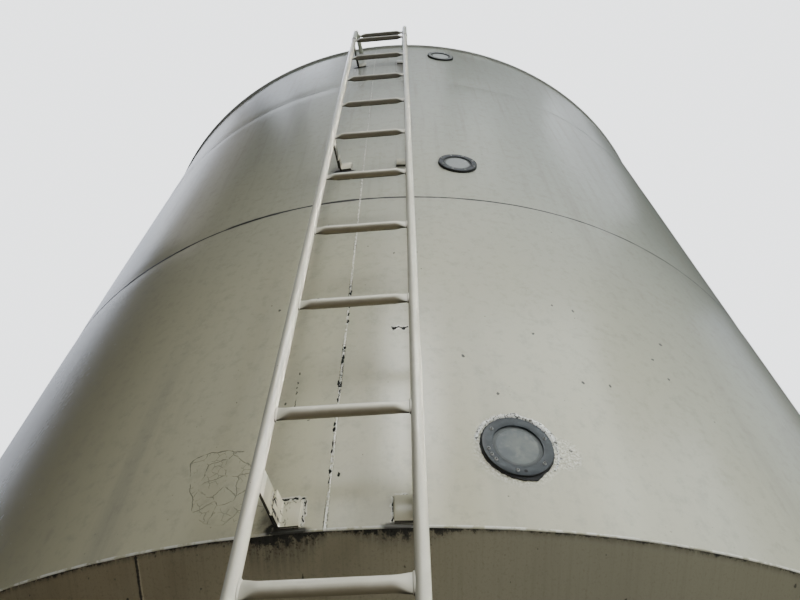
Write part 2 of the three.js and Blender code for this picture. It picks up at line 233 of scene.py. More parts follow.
# One object from patches. Faces are turned outwards: a closed mesh by itself, and an open
# sheet away from the point it is looked at from. The modifiers are applied at once, and edges
# sharper than a given angle stay sharp.
def makePiece(name, patches, finish, replaces=(), sharp=35, bevel=0.0, wall=0.0, inside=None):
    starts = np.cumsum([0] + [len(patch[0]) for patch in patches])
    points = np.concatenate([patch[0] for patch in patches])
    quads = np.concatenate([patch[1] + start for patch, start in zip(patches, starts)])
    caps = [[corner + start for corner in cap] for patch, start in zip(patches, starts)
            for cap in patch[2]]
    sizes = np.array([4] * len(quads) + [len(cap) for cap in caps])
    corners = np.concatenate([quads.ravel()] + [np.array(cap) for cap in caps])
    mesh = bpy.data.meshes.new(name)
    mesh.vertices.add(len(points))
    mesh.vertices.foreach_set("co", points.astype(np.float32).ravel())
    mesh.loops.add(len(corners))
    mesh.loops.foreach_set("vertex_index", corners.astype(np.int32))
    mesh.polygons.add(len(sizes))
    mesh.polygons.foreach_set("loop_start", np.concatenate([[0], np.cumsum(sizes)[:-1]]).astype(np.int32))
    mesh.update(calc_edges=True)
    editable = bmesh.new()
    editable.from_mesh(mesh)
    bmesh.ops.recalc_face_normals(editable, faces=editable.faces)
    if inside is not None:
        facing = sum(face.normal.dot(face.calc_center_median() - Vector(inside))
                     for face in editable.faces)
        if facing < 0:
            bmesh.ops.reverse_faces(editable, faces=editable.faces)
    editable.to_mesh(mesh)
    editable.free()
    piece = bpy.data.objects.new(name, mesh)
    bpy.context.scene.collection.objects.link(piece)
    if wall:
        solid = piece.modifiers.new("wall", "SOLIDIFY")
        solid.thickness = wall
        solid.offset = -1
    if bevel:
        rounding = piece.modifiers.new("edges", "BEVEL")
        rounding.width = bevel
        rounding.segments = 2
        rounding.limit_method = "ANGLE"
        rounding.angle_limit = math.radians(40)
    if piece.modifiers:
        graph = bpy.context.evaluated_depsgraph_get()
        finished = bpy.data.meshes.new_from_object(piece.evaluated_get(graph))
        piece.modifiers.clear()
        piece.data = finished
    piece.data.polygons.foreach_set("use_smooth", np.ones(len(piece.data.polygons), bool))
    piece.data.set_sharp_from_angle(angle=math.radians(sharp))
    piece.data.materials.clear()
    piece.data.materials.append(finish[0])
    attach(piece, "root")
    if replaces:
        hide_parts(*replaces)
    return piece


# Adds one node with its settings and links, and gives one of its outputs. The kind may have an
# operation after it. Inputs are values or sockets, in order, in a dictionary by number, or by a
# name with a capital. Names without one are settings.
def addNode(tree, kind, *inputs, output=0, **named):
    kind, *operation = kind.split()
    node = tree.nodes.new("ShaderNode" + kind)
    if operation:
        node.operation = operation[0]
    for name in [name for name in named if name[0].islower()]:
        setattr(node, name, named.pop(name))
    numbered = inputs[0] if inputs and isinstance(inputs[0], dict) else dict(enumerate(inputs))
    for key, value in (*numbered.items(), *named.items()):
        if isinstance(value, bpy.types.NodeSocket):
            tree.links.new(value, node.inputs[key])
        elif value is not None:
            node.inputs[key].default_value = value
    return node.outputs[output] if len(node.outputs) else node


def linear(hexColour):  # sRGB hex to linear, with alpha
    parts = [int(hexColour[i:i + 2], 16) / 255 for i in (1, 3, 5)]
    return [p / 12.92 if p <= 0.04045 else ((p + 0.055) / 1.055) ** 2.4 for p in parts] + [1.0]


# A new material, or a cleared world, with what adds a node to it
def emptied(owner):
    owner.use_nodes = True
    owner.node_tree.nodes.clear()
    return owner, partial(addNode, owner.node_tree)


# A finish is a material and the slot of the record that it belongs to
def newFinish(name, slot):
    material, add = emptied(bpy.data.materials.new(name))
    return (material, slot), add


# A share from 0 to 1: the product of its factors. A factor is a number, a socket, or
# (value, start, end) for a smooth step that is 0 at the start and 1 at the end.
def share(add, *factors):
    product = None
    for factor in factors:
        if isinstance(factor, tuple):
            factor = add("MapRange", *factor, 0.0, 1.0, interpolation_type="SMOOTHSTEP")
        product = factor if product is None else add("Math MULTIPLY", product, factor)
    return product


# The bin's own coordinates for patterns, in metres: the arc along the shell from the ladder side
# and the height above the junction, flat and shaken a little for ragged edges, and the place on
# the round wall with its height squeezed to a twentieth, for streaks that run down
def binCoordinates(add):
    position = add("TexCoord", output="Object")
    x, y, z = add("SeparateXYZ", position).node.outputs
    front = add("Math SUBTRACT", axisY, y)
    azimuth = add("Math ARCTAN2", x, front)
    arc = add("Math MULTIPLY", azimuth, shellRadius)
    above = add("Math SUBTRACT", z, junctionZ)
    flat = add("CombineXYZ", arc, above, 0.0)
    jitter = add("TexNoise", Vector=flat, Scale=150.0, Detail=2.0, output="Color")
    jitter = add("VectorMath SUBTRACT", jitter, (0.5, 0.5, 0.5))
    shaken = add("VectorMath MULTIPLY_ADD", jitter, (0.006, 0.006, 0.0), flat)
    around = add("CombineXYZ", x, front, 0.0)
    radius = add("VectorMath LENGTH", around, output="Value")
    level = add("VectorMath NORMALIZE", around)
    squeezed = add("Math MULTIPLY", z, 0.05)
    lifted = add("CombineXYZ", 0.0, 0.0, squeezed)
    streak = add("VectorMath MULTIPLY_ADD", level, (shellRadius, shellRadius, 0.0), lifted)
    return SimpleNamespace(position=position, z=z, azimuth=azimuth, arc=arc, above=above, flat=flat,
                           shaken=shaken, radius=radius, streak=streak)


# How far a point is from a place
def distanceTo(add, point, place):
    return add("VectorMath LENGTH", add("VectorMath SUBTRACT", point, place), output="Value")


# The share of a line at a distance from its middle: 1 inside, 0 past its half-width. A value that
# isn't such a distance yet has its middle stated.
def line(add, distance, halfWidth, middle=None):
    if middle is not None:
        distance = add("Math SUBTRACT", distance, middle)
    span = add("Math ABSOLUTE", distance)
    ratio = add("Math DIVIDE", span, halfWidth)
    return add("MapRange", ratio, 0.6, 1.0, 1.0, 0.0)


# Flecks at a random few of the cells of a flat pattern, of random size up to a radius
def flecks(add, at, perMetre, radius, chosen):
    cell = add("TexVoronoi", Vector=at.shaken, Scale=perMetre, voronoi_dimensions="2D").node
    draw = add("SeparateColor", cell.outputs["Color"]).node
    reach = radius * perMetre
    limit = add("MapRange", draw.outputs[1], 0.0, 1.0, 0.35 * reach, reach)
    ratio = add("Math DIVIDE", cell.outputs["Distance"], limit)
    picked = add("Math LESS_THAN", draw.outputs[0], chosen)
    return share(add, (ratio, 1.0, 0.5), picked)


# Marks at stated places of the wall, each (arc, height above the junction, half width, half
# height) in millimetres: ragged ellipses, and at each point the strongest of them
def marks(add, at, places):
    strongest = None
    for arc, above, halfWidth, halfHeight in places:
        offset = add("VectorMath SUBTRACT", at.shaken, (arc / 1000, above / 1000, 0.0))
        scale = (1000 / halfWidth, 1000 / halfHeight, 0.0)
        offset = add("VectorMath MULTIPLY", offset, scale)
        away = add("VectorMath LENGTH", offset, output="Value")
        mark = share(add, (away, 1.15, 0.7))
        strongest = mark if strongest is None else add("Math MAXIMUM", strongest, mark)
    return strongest


# Paint: a ground colour, then layers of (sRGB colour, change of roughness, factors of a share),
# each painted over the last by its share, and a surface relief in metres
def paint(add, ground, layers, relief, roughness):
    colour, gloss = ground, roughness
    for tint, change, *factors in layers:
        mask = share(add, *factors)
        colour = add("Mix", {0: mask, 6: colour, 7: linear(tint)}, output=2, data_type="RGBA")
        gloss = add("Math MULTIPLY_ADD", mask, change, gloss)
    bump = add("Bump", Strength=1.0, Distance=1.0, Height=relief)
    shader = add("BsdfPrincipled", colour, Roughness=gloss, Normal=bump, Metallic=0.0, IOR=1.5)
    add("OutputMaterial", Surface=shader)


# A ground of two colours that drift into each other in clouds
def clouded(add, vector, perMetre, first, second, start=0.3, end=0.7):
    cloud = add("TexNoise", Vector=vector, Scale=perMetre, Detail=4.0, Roughness=0.6)
    return add("Mix", {0: share(add, (cloud, start, end)), 6: linear(first), 7: linear(second)}, output=2,
               data_type="RGBA")


# A relief in metres: fine grain of a depth, so many to the metre
def grain(add, vector, perMetre, depth):
    noise = add("TexNoise", Vector=vector, Scale=perMetre, Detail=3.0)
    return add("Math MULTIPLY", noise, depth)


# A pattern's Scale is a count to the metre, 1000 over its real spacing in millimetres: streaks
# 90 mm apart have 11, blotches of 26 mm have 38, and grit of 8 mm has 130.

# Alkyd enamel sprayed on steel plate, cream and half gloss, with a fine orange peel. It holds
# dirt in streaks, at welds and under clips. Its ground is tinted by place as painted light, warmer low
# at the left and cooler up at the right; painted shade darkens it low on the left of the ladder, under
# the level welds, under the clips and among the scuffs round the lowest window, and a painted highlight
# runs along the junction's bead. The peel is 2.4 mm apart, coarser than the real 1 mm, so that it shows.
enamel = {
    "warm": "#c4bfa3", "cool": "#b4b7ac", "streak": "#9a9587", "film": "#857b5e", "grime": "#615d50",
    "dirt": "#211f18", "chip": "#0a0907", "bare edge": "#e9e7dc", "crack": "#4f4b3d", "roughness": 0.21,
    "streaks per metre": 11.0, "peel per metre": 420.0, "peel depth": 0.00002,
}
# Millimetres: arc from the ladder side, height above the junction, half width, half height
seamArc = shellSeam * shellRadius * 1000
seamChips = [(seamArc + offset, *rest) for offset, *rest in (
    (2.6, 637, 2.2, 6), (1.6, 577, 2.2, 6), (1.7, 548, 2.4, 7), (2.2, 522, 3.0, 7), (1.0, 432, 2.6, 5),
    (0.4, 403, 3.2, 8), (-0.6, 391, 3.3, 9), (1.8, 367, 1.2, 9), (1.6, 342, 1.4, 3), (-4.2, 327, 2.4, 9),
    (-1.2, 317, 4.6, 3.6), (1.8, 322, 2.0, 5), (0.8, 301, 1.3, 7), (-0.6, 289, 1.2, 7),
    (-1.6, 278, 2.0, 7), (-2.7, 218, 2.6, 6), (-2.6, 205, 3.5, 7), (-2.1, 172, 1.8, 8),
    (-2.9, 155, 1.8, 6), (-2.1, 111, 3.0, 6), (-1.4, 92, 1.2, 8), (13.9, 104, 2.5, 5),
)]
dirtSpots = (
    (-122, 365, 2.0, 4), (-122, 338, 1.6, 4), (-122, 324, 1.6, 3), (-121, 309, 1.4, 6),
    (-120, 280, 1.2, 14), (-140, 282, 3.0, 4), (-203, 597, 3.2, 5), (385, 494, 3.0, 4),
    (507, 608, 3.4, 5), (455, 617, 2.6, 4),
    (734, 566, 5.0, 5), (682, 493, 4.0, 4), (218, 400, 3.6, 5), (468, 355, 3.6, 5), (530, 361, 2.8, 4),
    (278, 295, 3.4, 4), (702, 435, 3.4, 4), (71, 800, 2.5, 5), (130, 803, 3.0, 5), (345, 160, 4.0, 4),
    (395, 166, 3.8, 3), (372, 146, 3.0, 3), (69, 494, 3.0, 3),
)
wavyCrack = {"arc": 0.069, "above": 0.491, "end": 0.106, "wave": 0.021, "phase": 1.9, "depth": 0.0030}
crazing = {"arc": -0.219, "above": 0.104, "half width": 0.068, "half height": 0.080, "lean": 0.37}


# Cracks between the cells of a flat pattern: lines of a half-width in metres
def cracks(add, vector, perMetre, halfWidth):
    edge = add("TexVoronoi", Vector=vector, Scale=perMetre, voronoi_dimensions="2D",
               feature="DISTANCE_TO_EDGE")
    return line(add, edge, halfWidth * perMetre)


# Crazed paint inside a leaning patch with square shoulders: (x^4 + y^4)^(1/2) under 1. Cracks
# round large cells run into finer and fainter ones, all of them broken here and there.
def crazedPaint(add, at):
    above = add("Math SUBTRACT", at.above, crazing["above"])
    arc = add("Math MULTIPLY_ADD", above, crazing["lean"], at.arc)
    across = add("Math SUBTRACT", arc, crazing["arc"])
    across = add("Math DIVIDE", across, crazing["half width"])
    up = add("Math DIVIDE", above, crazing["half height"])
    place = add("CombineXYZ", across, up, 0.0)
    square = add("VectorMath MULTIPLY", place, place)
    away = add("VectorMath LENGTH", square, output="Value")
    shake = add("TexNoise", Vector=at.flat, Scale=20.0, Detail=3.0)
    away = add("Math MULTIPLY_ADD", shake, 0.7, away)
    bend = add("TexNoise", Vector=at.flat, Scale=28.0, Detail=4.0, output="Color")
    bent = add("VectorMath MULTIPLY_ADD", bend, (0.028, 0.028, 0.0), at.flat)
    broken = add("TexNoise", Vector=at.flat, Scale=34.0, Detail=3.0)
    coarse = share(add, cracks(add, bent, 27.0, 0.0011), (broken, 0.38, 0.50), 0.8)
    fine = share(add, cracks(add, bent, 62.0, 0.0009), (broken, 0.50, 0.60), 0.6)
    both = add("Math MAXIMUM", coarse, fine)
    inner = share(add, both, (away, 1.34, 1.28))
    rim = share(add, line(add, away, 0.030, 1.32), (broken, 0.40, 0.50), (up, -1.1, -0.3))
    return add("Math MAXIMUM", inner, rim)


def shellFinish():
    finish, add = newFinish("cream_enamel_on_shell_plate", "shell_paint")
    at = binCoordinates(add)
    # The ground drifts between warm and cool at random, and with place as a painted tint of the light:
    # warmer low down and at the left, cooler and a little darker up and to the right
    mottle = add("TexNoise", Vector=at.position, Scale=1.3, Detail=4.0)
    climb = add("Math MULTIPLY", at.above, 0.30)
    mixed = add("Math MULTIPLY_ADD", mottle, 0.4, climb)
    rightward = add("Math SINE", at.azimuth)
    mixed = add("Math MULTIPLY_ADD", rightward, 0.55, mixed)
    ground = add("Mix", {0: share(add, (mixed, 0.05, 1.0)), 6: linear(enamel["warm"]),
                         7: linear(enamel["cool"])}, output=2, data_type="RGBA")
    # A dark olive film low down on the left of the ladder, painted shade, then faint rain streaks
    # 50 to 150 mm apart
    layers = [(enamel["film"], 0.1, (at.arc, -0.3, -1.0), (at.arc, -3.8, -2.8), (at.above, 1.5, 0.5),
               0.72)]
    streaks = add("TexNoise", Vector=at.streak, Scale=enamel["streaks per metre"], Detail=5.0,
                  Roughness=0.6)
    patchy = add("TexNoise", Vector=at.position, Scale=0.9, Detail=2.0)
    layers.append((enamel["streak"], 0.1, (streaks, 0.5, 0.85), (patchy, 0.35, 0.7), 0.6))
    fineStreaks = add("TexNoise", Vector=at.streak, Scale=44.0, Detail=3.0)
    layers.append((enamel["streak"], 0.05, (fineStreaks, 0.5, 0.8), (at.above, 0.7, 1.9), 0.4))

    # Fine blotches a few centimetres wide, of dust that rain has shifted about
    blotches = add("TexNoise", Vector=at.position, Scale=38.0, Detail=5.0, Roughness=0.7)
    layers.append((enamel["streak"], 0.06, (blotches, 0.46, 0.72), 0.34))

    # A bright line along the junction's bead, broken here and there: a painted highlight where the bead
    # catches the light
    layers.append((enamel["bare edge"], 0.0, line(add, at.above, 0.0026), (blotches, 0.40, 0.52), 0.85))

    # A dark line just under each level weld, dirt and painted shadow under the bead, thicker left of
    # the ladder and faint at the upper one
    wander = add("TexNoise", Vector=at.flat, Scale=6.0, Detail=4.0, Roughness=0.7)
    leftward = add("MapRange", rightward, 0.5, -0.5, 0.75, 1.7)
    for height, strength, halfWidth in ((midSeamZ, 1.0, 0.0048), (upperSeamZ, 0.4, 0.0022)):
        width = add("MapRange", wander, 0.3, 0.7, 0.3 * halfWidth, 1.6 * halfWidth)
        width = add("Math MULTIPLY", width, leftward)
        level = height - junctionZ - 0.0022  # just under the bead
        layers.append((enamel["dirt"], 0.3, line(add, at.above, width, level), strength))
    fromTop = add("Math SUBTRACT", shellTopZ - junctionZ, at.above)
    drips = add("TexNoise", Vector=at.streak, Scale=16.0, Detail=4.0, Roughness=0.65)
    reach = add("MapRange", drips, 0.4, 0.75, 0.006, 0.09)
    washed = add("Math DIVIDE", fromTop, reach)
    layers.append((enamel["grime"], 0.2, (washed, 1.0, 0.2), 0.55))

    # Grey runs under the ladder's clips, most at the upper two levels. Under the left clips and the
    # lower right one, black bands of dirt and painted shadow, and under the left ones a soft grey patch
    # of painted shadow
    veins = add("TexNoise", Vector=at.streak, Scale=34.0, Detail=3.0, Roughness=0.6)
    for level, length, strength in (("lower", 0.03, 0.5), ("middle", 0.16, 0.75), ("upper", 0.50, 0.9)):
        for side in sides:
            low, high = nodeBox(f"ladder_bracket_{level}_{side}")
            clipArc = math.atan2((low[0] + high[0]) / 2, axisY - high[1]) * shellRadius
            below = add("Math SUBTRACT", high[2] - junctionZ, at.above)
            layers.append((enamel["grime"], 0.2, (below, length, 0.0), (below, 0.0, 0.01),
                           (veins, 0.36, 0.62), line(add, at.arc, 0.034, clipArc), strength))
            arc, foot = clipArc * 1000, (low[2] - junctionZ) * 1000
            # Painted shadow under the clips: a soft grey patch under the left ones, and black bands of
            # dirt and painted shadow
            if side == "left":
                soft = marks(add, at, ((arc - 20, foot + 4, 36, 26),))
                black = marks(add, at, ((arc + 6, foot - 6, 40, 9), (arc - 18, foot - 1, 16, 11)))
                layers.append((enamel["grime"], 0.2, soft, (blotches, 0.35, 0.65), 0.6))
                layers.append((enamel["dirt"], 0.3, black, (blotches, 0.28, 0.44), 0.97))
            elif level == "lower":
                black = marks(add, at, ((arc - 18, foot - 6, 30, 8),))
                layers.append((enamel["dirt"], 0.3, black, (blotches, 0.30, 0.46), 0.85))

    # Flecks of dirt and the marks that stand out, some with a pale smudge round them
    layers.append((enamel["dirt"], 0.2, flecks(add, at, 8.0, 0.0032, 0.30), 0.75))
    clouds = add("TexNoise", Vector=at.flat, Scale=2.6, Detail=2.0)
    layers.append((enamel["grime"], 0.2, flecks(add, at, 34.0, 0.0021, 0.35), (clouds, 0.48, 0.62), 0.6))
    layers.append((enamel["dirt"], 0.2, marks(add, at, dirtSpots), 0.9))

    crazed = crazedPaint(add, at)
    layers.append((enamel["crack"], 0.2, crazed, 0.8))

    # The filler of the upright weld: a pale ragged line with dark lips and black chips
    fromSeam = add("Math SUBTRACT", at.arc, shellSeam * shellRadius)
    grit = add("TexNoise", Vector=at.flat, Scale=130.0, Detail=3.0, Roughness=0.6)
    clump = add("TexNoise", Vector=at.flat, Scale=11.0, Detail=2.0)
    shift = add("Math MULTIPLY_ADD", grit, 0.006, fromSeam)
    centred = add("Math SUBTRACT", shift, 0.003)
    worn = share(add, (at.above, 1.02, 0.75))
    faded = add("MapRange", at.above, 0.9, 1.4, 0.95, 0.45)
    layers.append((enamel["bare edge"], 0.1, line(add, centred, 0.0027), (grit, 0.41, 0.50), faded))
    lips = line(add, add("Math ABSOLUTE", centred), 0.0013, 0.0030)
    layers.append((enamel["crack"], 0.2, lips, (grit, 0.42, 0.52), (clump, 0.40, 0.56), worn, 0.8))
    opened = add("Math ADD", grit, clump)
    small = share(add, (opened, 1.13, 1.18), line(add, centred, 0.0046), worn, (at.above, 0.02, 0.12))
    chips = add("Math MAXIMUM", marks(add, at, seamChips), small)
    layers.append((enamel["chip"], 0.75, chips))

    # A wavy crack by the right rail: a sine, thicker where it dips, with lifted paint beside it
    start, end = wavyCrack["arc"], wavyCrack["end"]
    phase = add("Math MULTIPLY_ADD", at.arc, 2 * math.pi / wavyCrack["wave"], wavyCrack["phase"])
    wave = add("Math SINE", phase)
    along = share(add, (at.arc, start - 0.002, start), (at.arc, end, end - 0.003))
    offset = add("Math MULTIPLY_ADD", wave, -wavyCrack["depth"], at.above)
    away = add("Math SUBTRACT", offset, wavyCrack["above"])
    thick = add("MapRange", wave, -0.9, 0.6, 0.0064, 0.0028)
    ragged = add("MapRange", grit, 0.38, 0.60, 0.5, 1.4)
    thick = add("Math MULTIPLY", thick, ragged)
    layers.append((enamel["bare edge"], 0.1, line(add, away, 0.0090), along, (grit, 0.42, 0.54), 0.6))
    layers.append((enamel["chip"], 0.75, line(add, away, thick), along))

    # Cracked paint round the clips at the foot of the ladder
    bend = add("TexNoise", Vector=at.flat, Scale=70.0, Detail=2.0, output="Color")
    bend = add("VectorMath SUBTRACT", bend, (0.5, 0.5, 0.5))
    bend = add("VectorMath MULTIPLY_ADD", bend, (0.012, 0.012, 0.0), at.shaken)
    rough = add("SeparateXYZ", bend).node.outputs
    for place, start, end, upright in (
        (0.0605, -0.120, -0.070, False), (-0.0715, 0.008, 0.060, True), (0.0745, 0.006, 0.056, True),
        (0.0570, 0.074, 0.100, False),
    ):
        cross, run = (rough[0], rough[1]) if upright else (rough[1], rough[0])
        ends = share(add, (run, start, start + 0.004), (run, end, end - 0.004))
        away = add("Math SUBTRACT", cross, place)
        layers.append((enamel["bare edge"], 0.1, line(add, away, 0.0050), ends, 0.6))
        layers.append((enamel["chip"], 0.75, line(add, away, 0.0024), ends, (grit, 0.38, 0.50)))

    # Scuffed paint round the lowest window, most of it to the right: pale scratches, and grey between
    # them that is painted shadow of the scratched paint
    windowAzimuth, windowZ = windows["lower"]
    scuff = add("TexNoise", Vector=at.flat, Scale=210.0, Detail=4.0, Roughness=0.7)
    for arcOff, aboveOff, size, most in ((0.0, 0.0, 0.088, 0.75), (0.082, -0.004, 0.042, 0.5)):
        middle = (windowAzimuth * shellRadius + arcOff, windowZ - junctionZ + aboveOff, 0.0)
        near = share(add, (distanceTo(add, at.flat, middle), size, 0.75 * size))
        layers.append((enamel["bare edge"], 0.15, near, (scuff, 0.49, 0.57), most))
        layers.append((enamel["grime"], 0.3, near, (scuff, 0.45, 0.38), most))

    fine = grain(add, at.position, enamel["peel per metre"], enamel["peel depth"])
    relief = add("Math MULTIPLY_ADD", crazed, -0.0002, fine)
    relief = add("Math MULTIPLY_ADD", chips, -0.0008, relief)
    gloss = add("Math MULTIPLY_ADD", mottle, 0.12, enamel["roughness"] - 0.06)
    paint(add, ground, layers, relief, gloss)
    return finish


# The same enamel under the cone, where rain never washes it: dust has turned it olive brown, in
# streaks down the slope 6 mm apart, with black mould under the top edge and along the seams
coneDirt = {"film": "#8b7d60", "film light": "#998e73", "olive": "#6b6a57", "streak": "#5d5743",
            "shade": "#312b1d", "mould": "#0f0e0a", "roughness": 0.62, "streaks per metre": 170.0}


def coneFinish():
    finish, add = newFinish("weathered_enamel_under_cone", "cone_paint")
    at = binCoordinates(add)
    ground = clouded(add, at.position, 1.6, coneDirt["film"], coneDirt["film light"])
    fine = add("TexNoise", Vector=at.streak, Scale=coneDirt["streaks per metre"], Detail=5.0,
               Roughness=0.6)
    wide = add("TexNoise", Vector=at.streak, Scale=14.0, Detail=3.0, Roughness=0.6)
    grains = add("TexNoise", Vector=at.position, Scale=240.0, Detail=3.0, Roughness=0.7)
    side = add("Math SINE", at.azimuth)
    layers = [(coneDirt["olive"], 0.0, (side, -0.35, 0.30), 0.85),
              (coneDirt["streak"], 0.05, (fine, 0.45, 0.75), 0.22),
              (coneDirt["streak"], 0.05, (wide, 0.5, 0.8), 0.2),
              (coneDirt["streak"], 0.05, (grains, 0.50, 0.75), 0.45)]

    # Mould under the junction: a thin line, and black and deep under the ladder's clips, with a
    # soft shade and specks further down
    depth = add("Math MULTIPLY", at.above, -1.0)
    ragged = add("TexNoise", Vector=at.flat, Scale=90.0, Detail=5.0, Roughness=0.7)
    spread = add("TexNoise", Vector=at.flat, Scale=9.0, Detail=3.0)
    heavy = 0.45
    for middle, most in ((-0.112, 2.3), (0.088, 1.3)):
        fromClip = add("Math ABSOLUTE", add("Math SUBTRACT", at.arc, middle))
        amount = add("MapRange", fromClip, 0.030, 0.085, most, 0.45)
        heavy = add("Math MAXIMUM", heavy, amount)
    limit = add("MapRange", ragged, 0.38, 0.66, 0.0022, 0.0125)
    limit = add("Math MULTIPLY", limit, heavy)
    limit = share(add, limit, add("MapRange", spread, 0.35, 0.65, 0.5, 1.5))
    ratio = add("Math DIVIDE", depth, limit)
    far = add("Math DIVIDE", depth, heavy)
    layers.append((coneDirt["shade"], 0.1, (far, 0.024, 0.001), (fine, 0.25, 0.55), 0.6))
    layers.append((coneDirt["mould"], 0.2, (far, 0.016, 0.002), (grains, 0.55, 0.63), 0.8))
    layers.append((coneDirt["mould"], 0.2, (ratio, 1.4, 0.5), 0.92))
    for number in range(3):
        angle = (coneSeam + number * 2 * math.pi / 3 + math.pi) % (2 * math.pi) - math.pi
        turn = add("Math SUBTRACT", at.azimuth, angle)
        away = add("Math MULTIPLY", turn, at.radius)
        width = add("MapRange", grains, 0.3, 0.7, 0.0012, 0.0042)
        layers.append((coneDirt["mould"], 0.2, line(add, away, width), 0.9))
    layers.append((coneDirt["mould"], 0.1, flecks(add, at, 7.0, 0.0040, 0.5), 0.8))
    layers.append((coneDirt["mould"], 0.1, flecks(add, at, 24.0, 0.0020, 0.4), 0.6))
    paint(add, ground, layers, grain(add, at.position, 260.0, 0.00006), coneDirt["roughness"])
    return finish


# Enamel brushed on the ladder's tube by hand, thicker and paler, with shallow brush marks 2.4 mm
# apart. The undersides darken from the top edge down, dust and painted shade, greyer on the upper
# rungs. Painted shade lies under the rungs' pressed ends and on the clips' bars, dirt and painted
# shade in blotches along the back of the lower edges, and painted shade on the left of the rails.
ladderPaint = {"cream": "#f5f1df", "worn cream": "#e6e1cd", "shaded left side": "#8a8573", "dust": "#6b6149",
               "greyShade": "#6a665e", "shade": "#26231b", "elbow": "#ccd0c2", "roughness": 0.18}


def ladderFinish(name, dustyAndShaded):
    finish, add = newFinish(name, "ladder_paint")
    at = binCoordinates(add)
    ground = clouded(add, at.position, 9.0, ladderPaint["cream"], ladderPaint["worn cream"])
    normal = add("NewGeometry", output="Normal")
    sideways, backwards, tilt = add("SeparateXYZ", normal).node.outputs
    blotch = add("TexNoise", Vector=at.position, Scale=24.0, Detail=4.0, Roughness=0.65)
    layers = []
    if dustyAndShaded:
        under = add("Math MULTIPLY_ADD", blotch, 0.24, tilt)
        short = add("Math LESS_THAN", at.radius, ladderJoint["reach"] - 0.001)
        x = add("SeparateXYZ", at.position).node.outputs[0]
        aside = add("Math ABSOLUTE", x)
        sideways = add("Math ABSOLUTE", sideways)
        end = ladderJoint["rung end"]
        dust, greyShade, shade = (ladderPaint[name] for name in ("dust", "greyShade", "shade"))
        # Painted shade with dust: undersides darker from the top edge down, greyer on the upper rungs;
        # painted shade under the pressed ends, under the clips' bars and on the bars' sides above the
        # lowest level; dirt and painted shade in blotches where the lower edge faces the shell
        layers = [(enamel["warm"], 0.0, short, 0.8),
                  (dust, 0.3, (under, 0.22, -0.88), 0.97),
                  (greyShade, 0.1, (under, 0.22, -0.88), (at.z, 3.0, 4.2), 0.75),
                  (shade, 0.2, (aside, end - 0.028, end - 0.006), (tilt, -0.35, -0.8), 0.85),
                  (shade, 0.2, (backwards, 0.25, 0.6), (tilt, 0.2, -0.3), (blotch, 0.36, 0.5), 0.85),
                  (shade, 0.2, (tilt, -0.2, -0.6), short, 0.9),
                  (shade, 0.2, (sideways, 0.3, 0.8), short, (at.z, 2.6, 2.7), (blotch, 0.25, 0.5), 0.9)]
    layers.append((enamel["grime"], 0.2, flecks(add, at, 14.0, 0.0022, 0.4), 0.7))

    # Near the top of the rails, dirt under the weld of the elbow, whose paint is a little greener
    if not dustyAndShaded:
        # Painted shade on the left of the rails
        layers.append((ladderPaint["shaded left side"], 0.05, (sideways, 0.1, -0.75), 0.5))
        joint = add("Math SUBTRACT", at.z, ladderJoint["height"])
        inFront = add("Math GREATER_THAN", at.radius, ladderJoint["reach"])
        layers.append((ladderPaint["elbow"], 0.1, (joint, 0.0, 0.004), 0.8))
        runs = add("TexNoise", Vector=at.streak, Scale=120.0, Detail=3.0)
        layers.append((enamel["streak"], 0.2, (joint, -0.9, 0.0), (runs, 0.52, 0.62), 0.5))
        away = add("Math ADD", joint, 0.007)
        layers.append((enamel["dirt"], 0.2, line(add, away, 0.013), inFront, (blotch, 0.25, 0.45), 0.95))

    # Thick paint cracked across the lower left clip
    low, high = nodeBox("ladder_bracket_lower_left")
    middle = ((low[0] + high[0]) / 2, high[1], (low[2] + high[2]) / 2)
    away = distanceTo(add, at.position, middle)
    stretched = add("VectorMath MULTIPLY", at.shaken, (1.0, 0.55, 0.0))
    torn = cracks(add, stretched, 105.0, 0.0010)
    layers.append((enamel["chip"], 0.3, torn, (blotch, 0.44, 0.54), (away, 0.055, 0.040)))

    brushed = add("Mapping", Vector=at.position, Scale=(1.0, 1.0, 0.02))
    paint(add, ground, layers, grain(add, brushed, 420.0, 0.00004), ladderPaint["roughness"])
    return finish


# Roof plates carry the same cream enamel, chalked by sun and rain to a dull finish. Their lowest
# edge and the bead under it are painted pale, painted light on faces that look down.
roofPaint = {"chalk": "#b9b6a6", "chalk light": "#c6c3b5", "stain": "#857f6e", "rim": "#d6d7d3",
             "roughness": 0.58}


def roofFinish():
    finish, add = newFinish("chalked_enamel_on_roof", "roof_paint")
    at = binCoordinates(add)
    ground = clouded(add, at.position, 3.5, roofPaint["chalk"], roofPaint["chalk light"])
    runs = add("TexNoise", Vector=at.streak, Scale=14.0, Detail=5.0, Roughness=0.65)
    lichen = add("TexNoise", Vector=at.position, Scale=38.0, Detail=4.0, Roughness=0.7)
    layers = [(roofPaint["stain"], 0.05, (runs, 0.48, 0.78), 0.45),
              (roofPaint["stain"], 0.1, (lichen, 0.60, 0.72), 0.5)]
    rim = nodeBox("roof_front")[0][2]
    # Painted light: the drip edge and the bead under it, which look down, are painted pale
    layers.append((roofPaint["rim"], 0.0, (at.z, rim + 0.014, rim + 0.008), 0.97))
    paint(add, ground, layers, grain(add, at.position, 300.0, 0.00005), roofPaint["roughness"])
    return finish


# Legs and outlet flanges: the cream enamel again, splashed with dirt near the ground and run
# down with it from the cone
framePaint = {"cream": "#b3ae9a", "shade": "#9c9782", "splash": "#655d49", "roughness": 0.5}


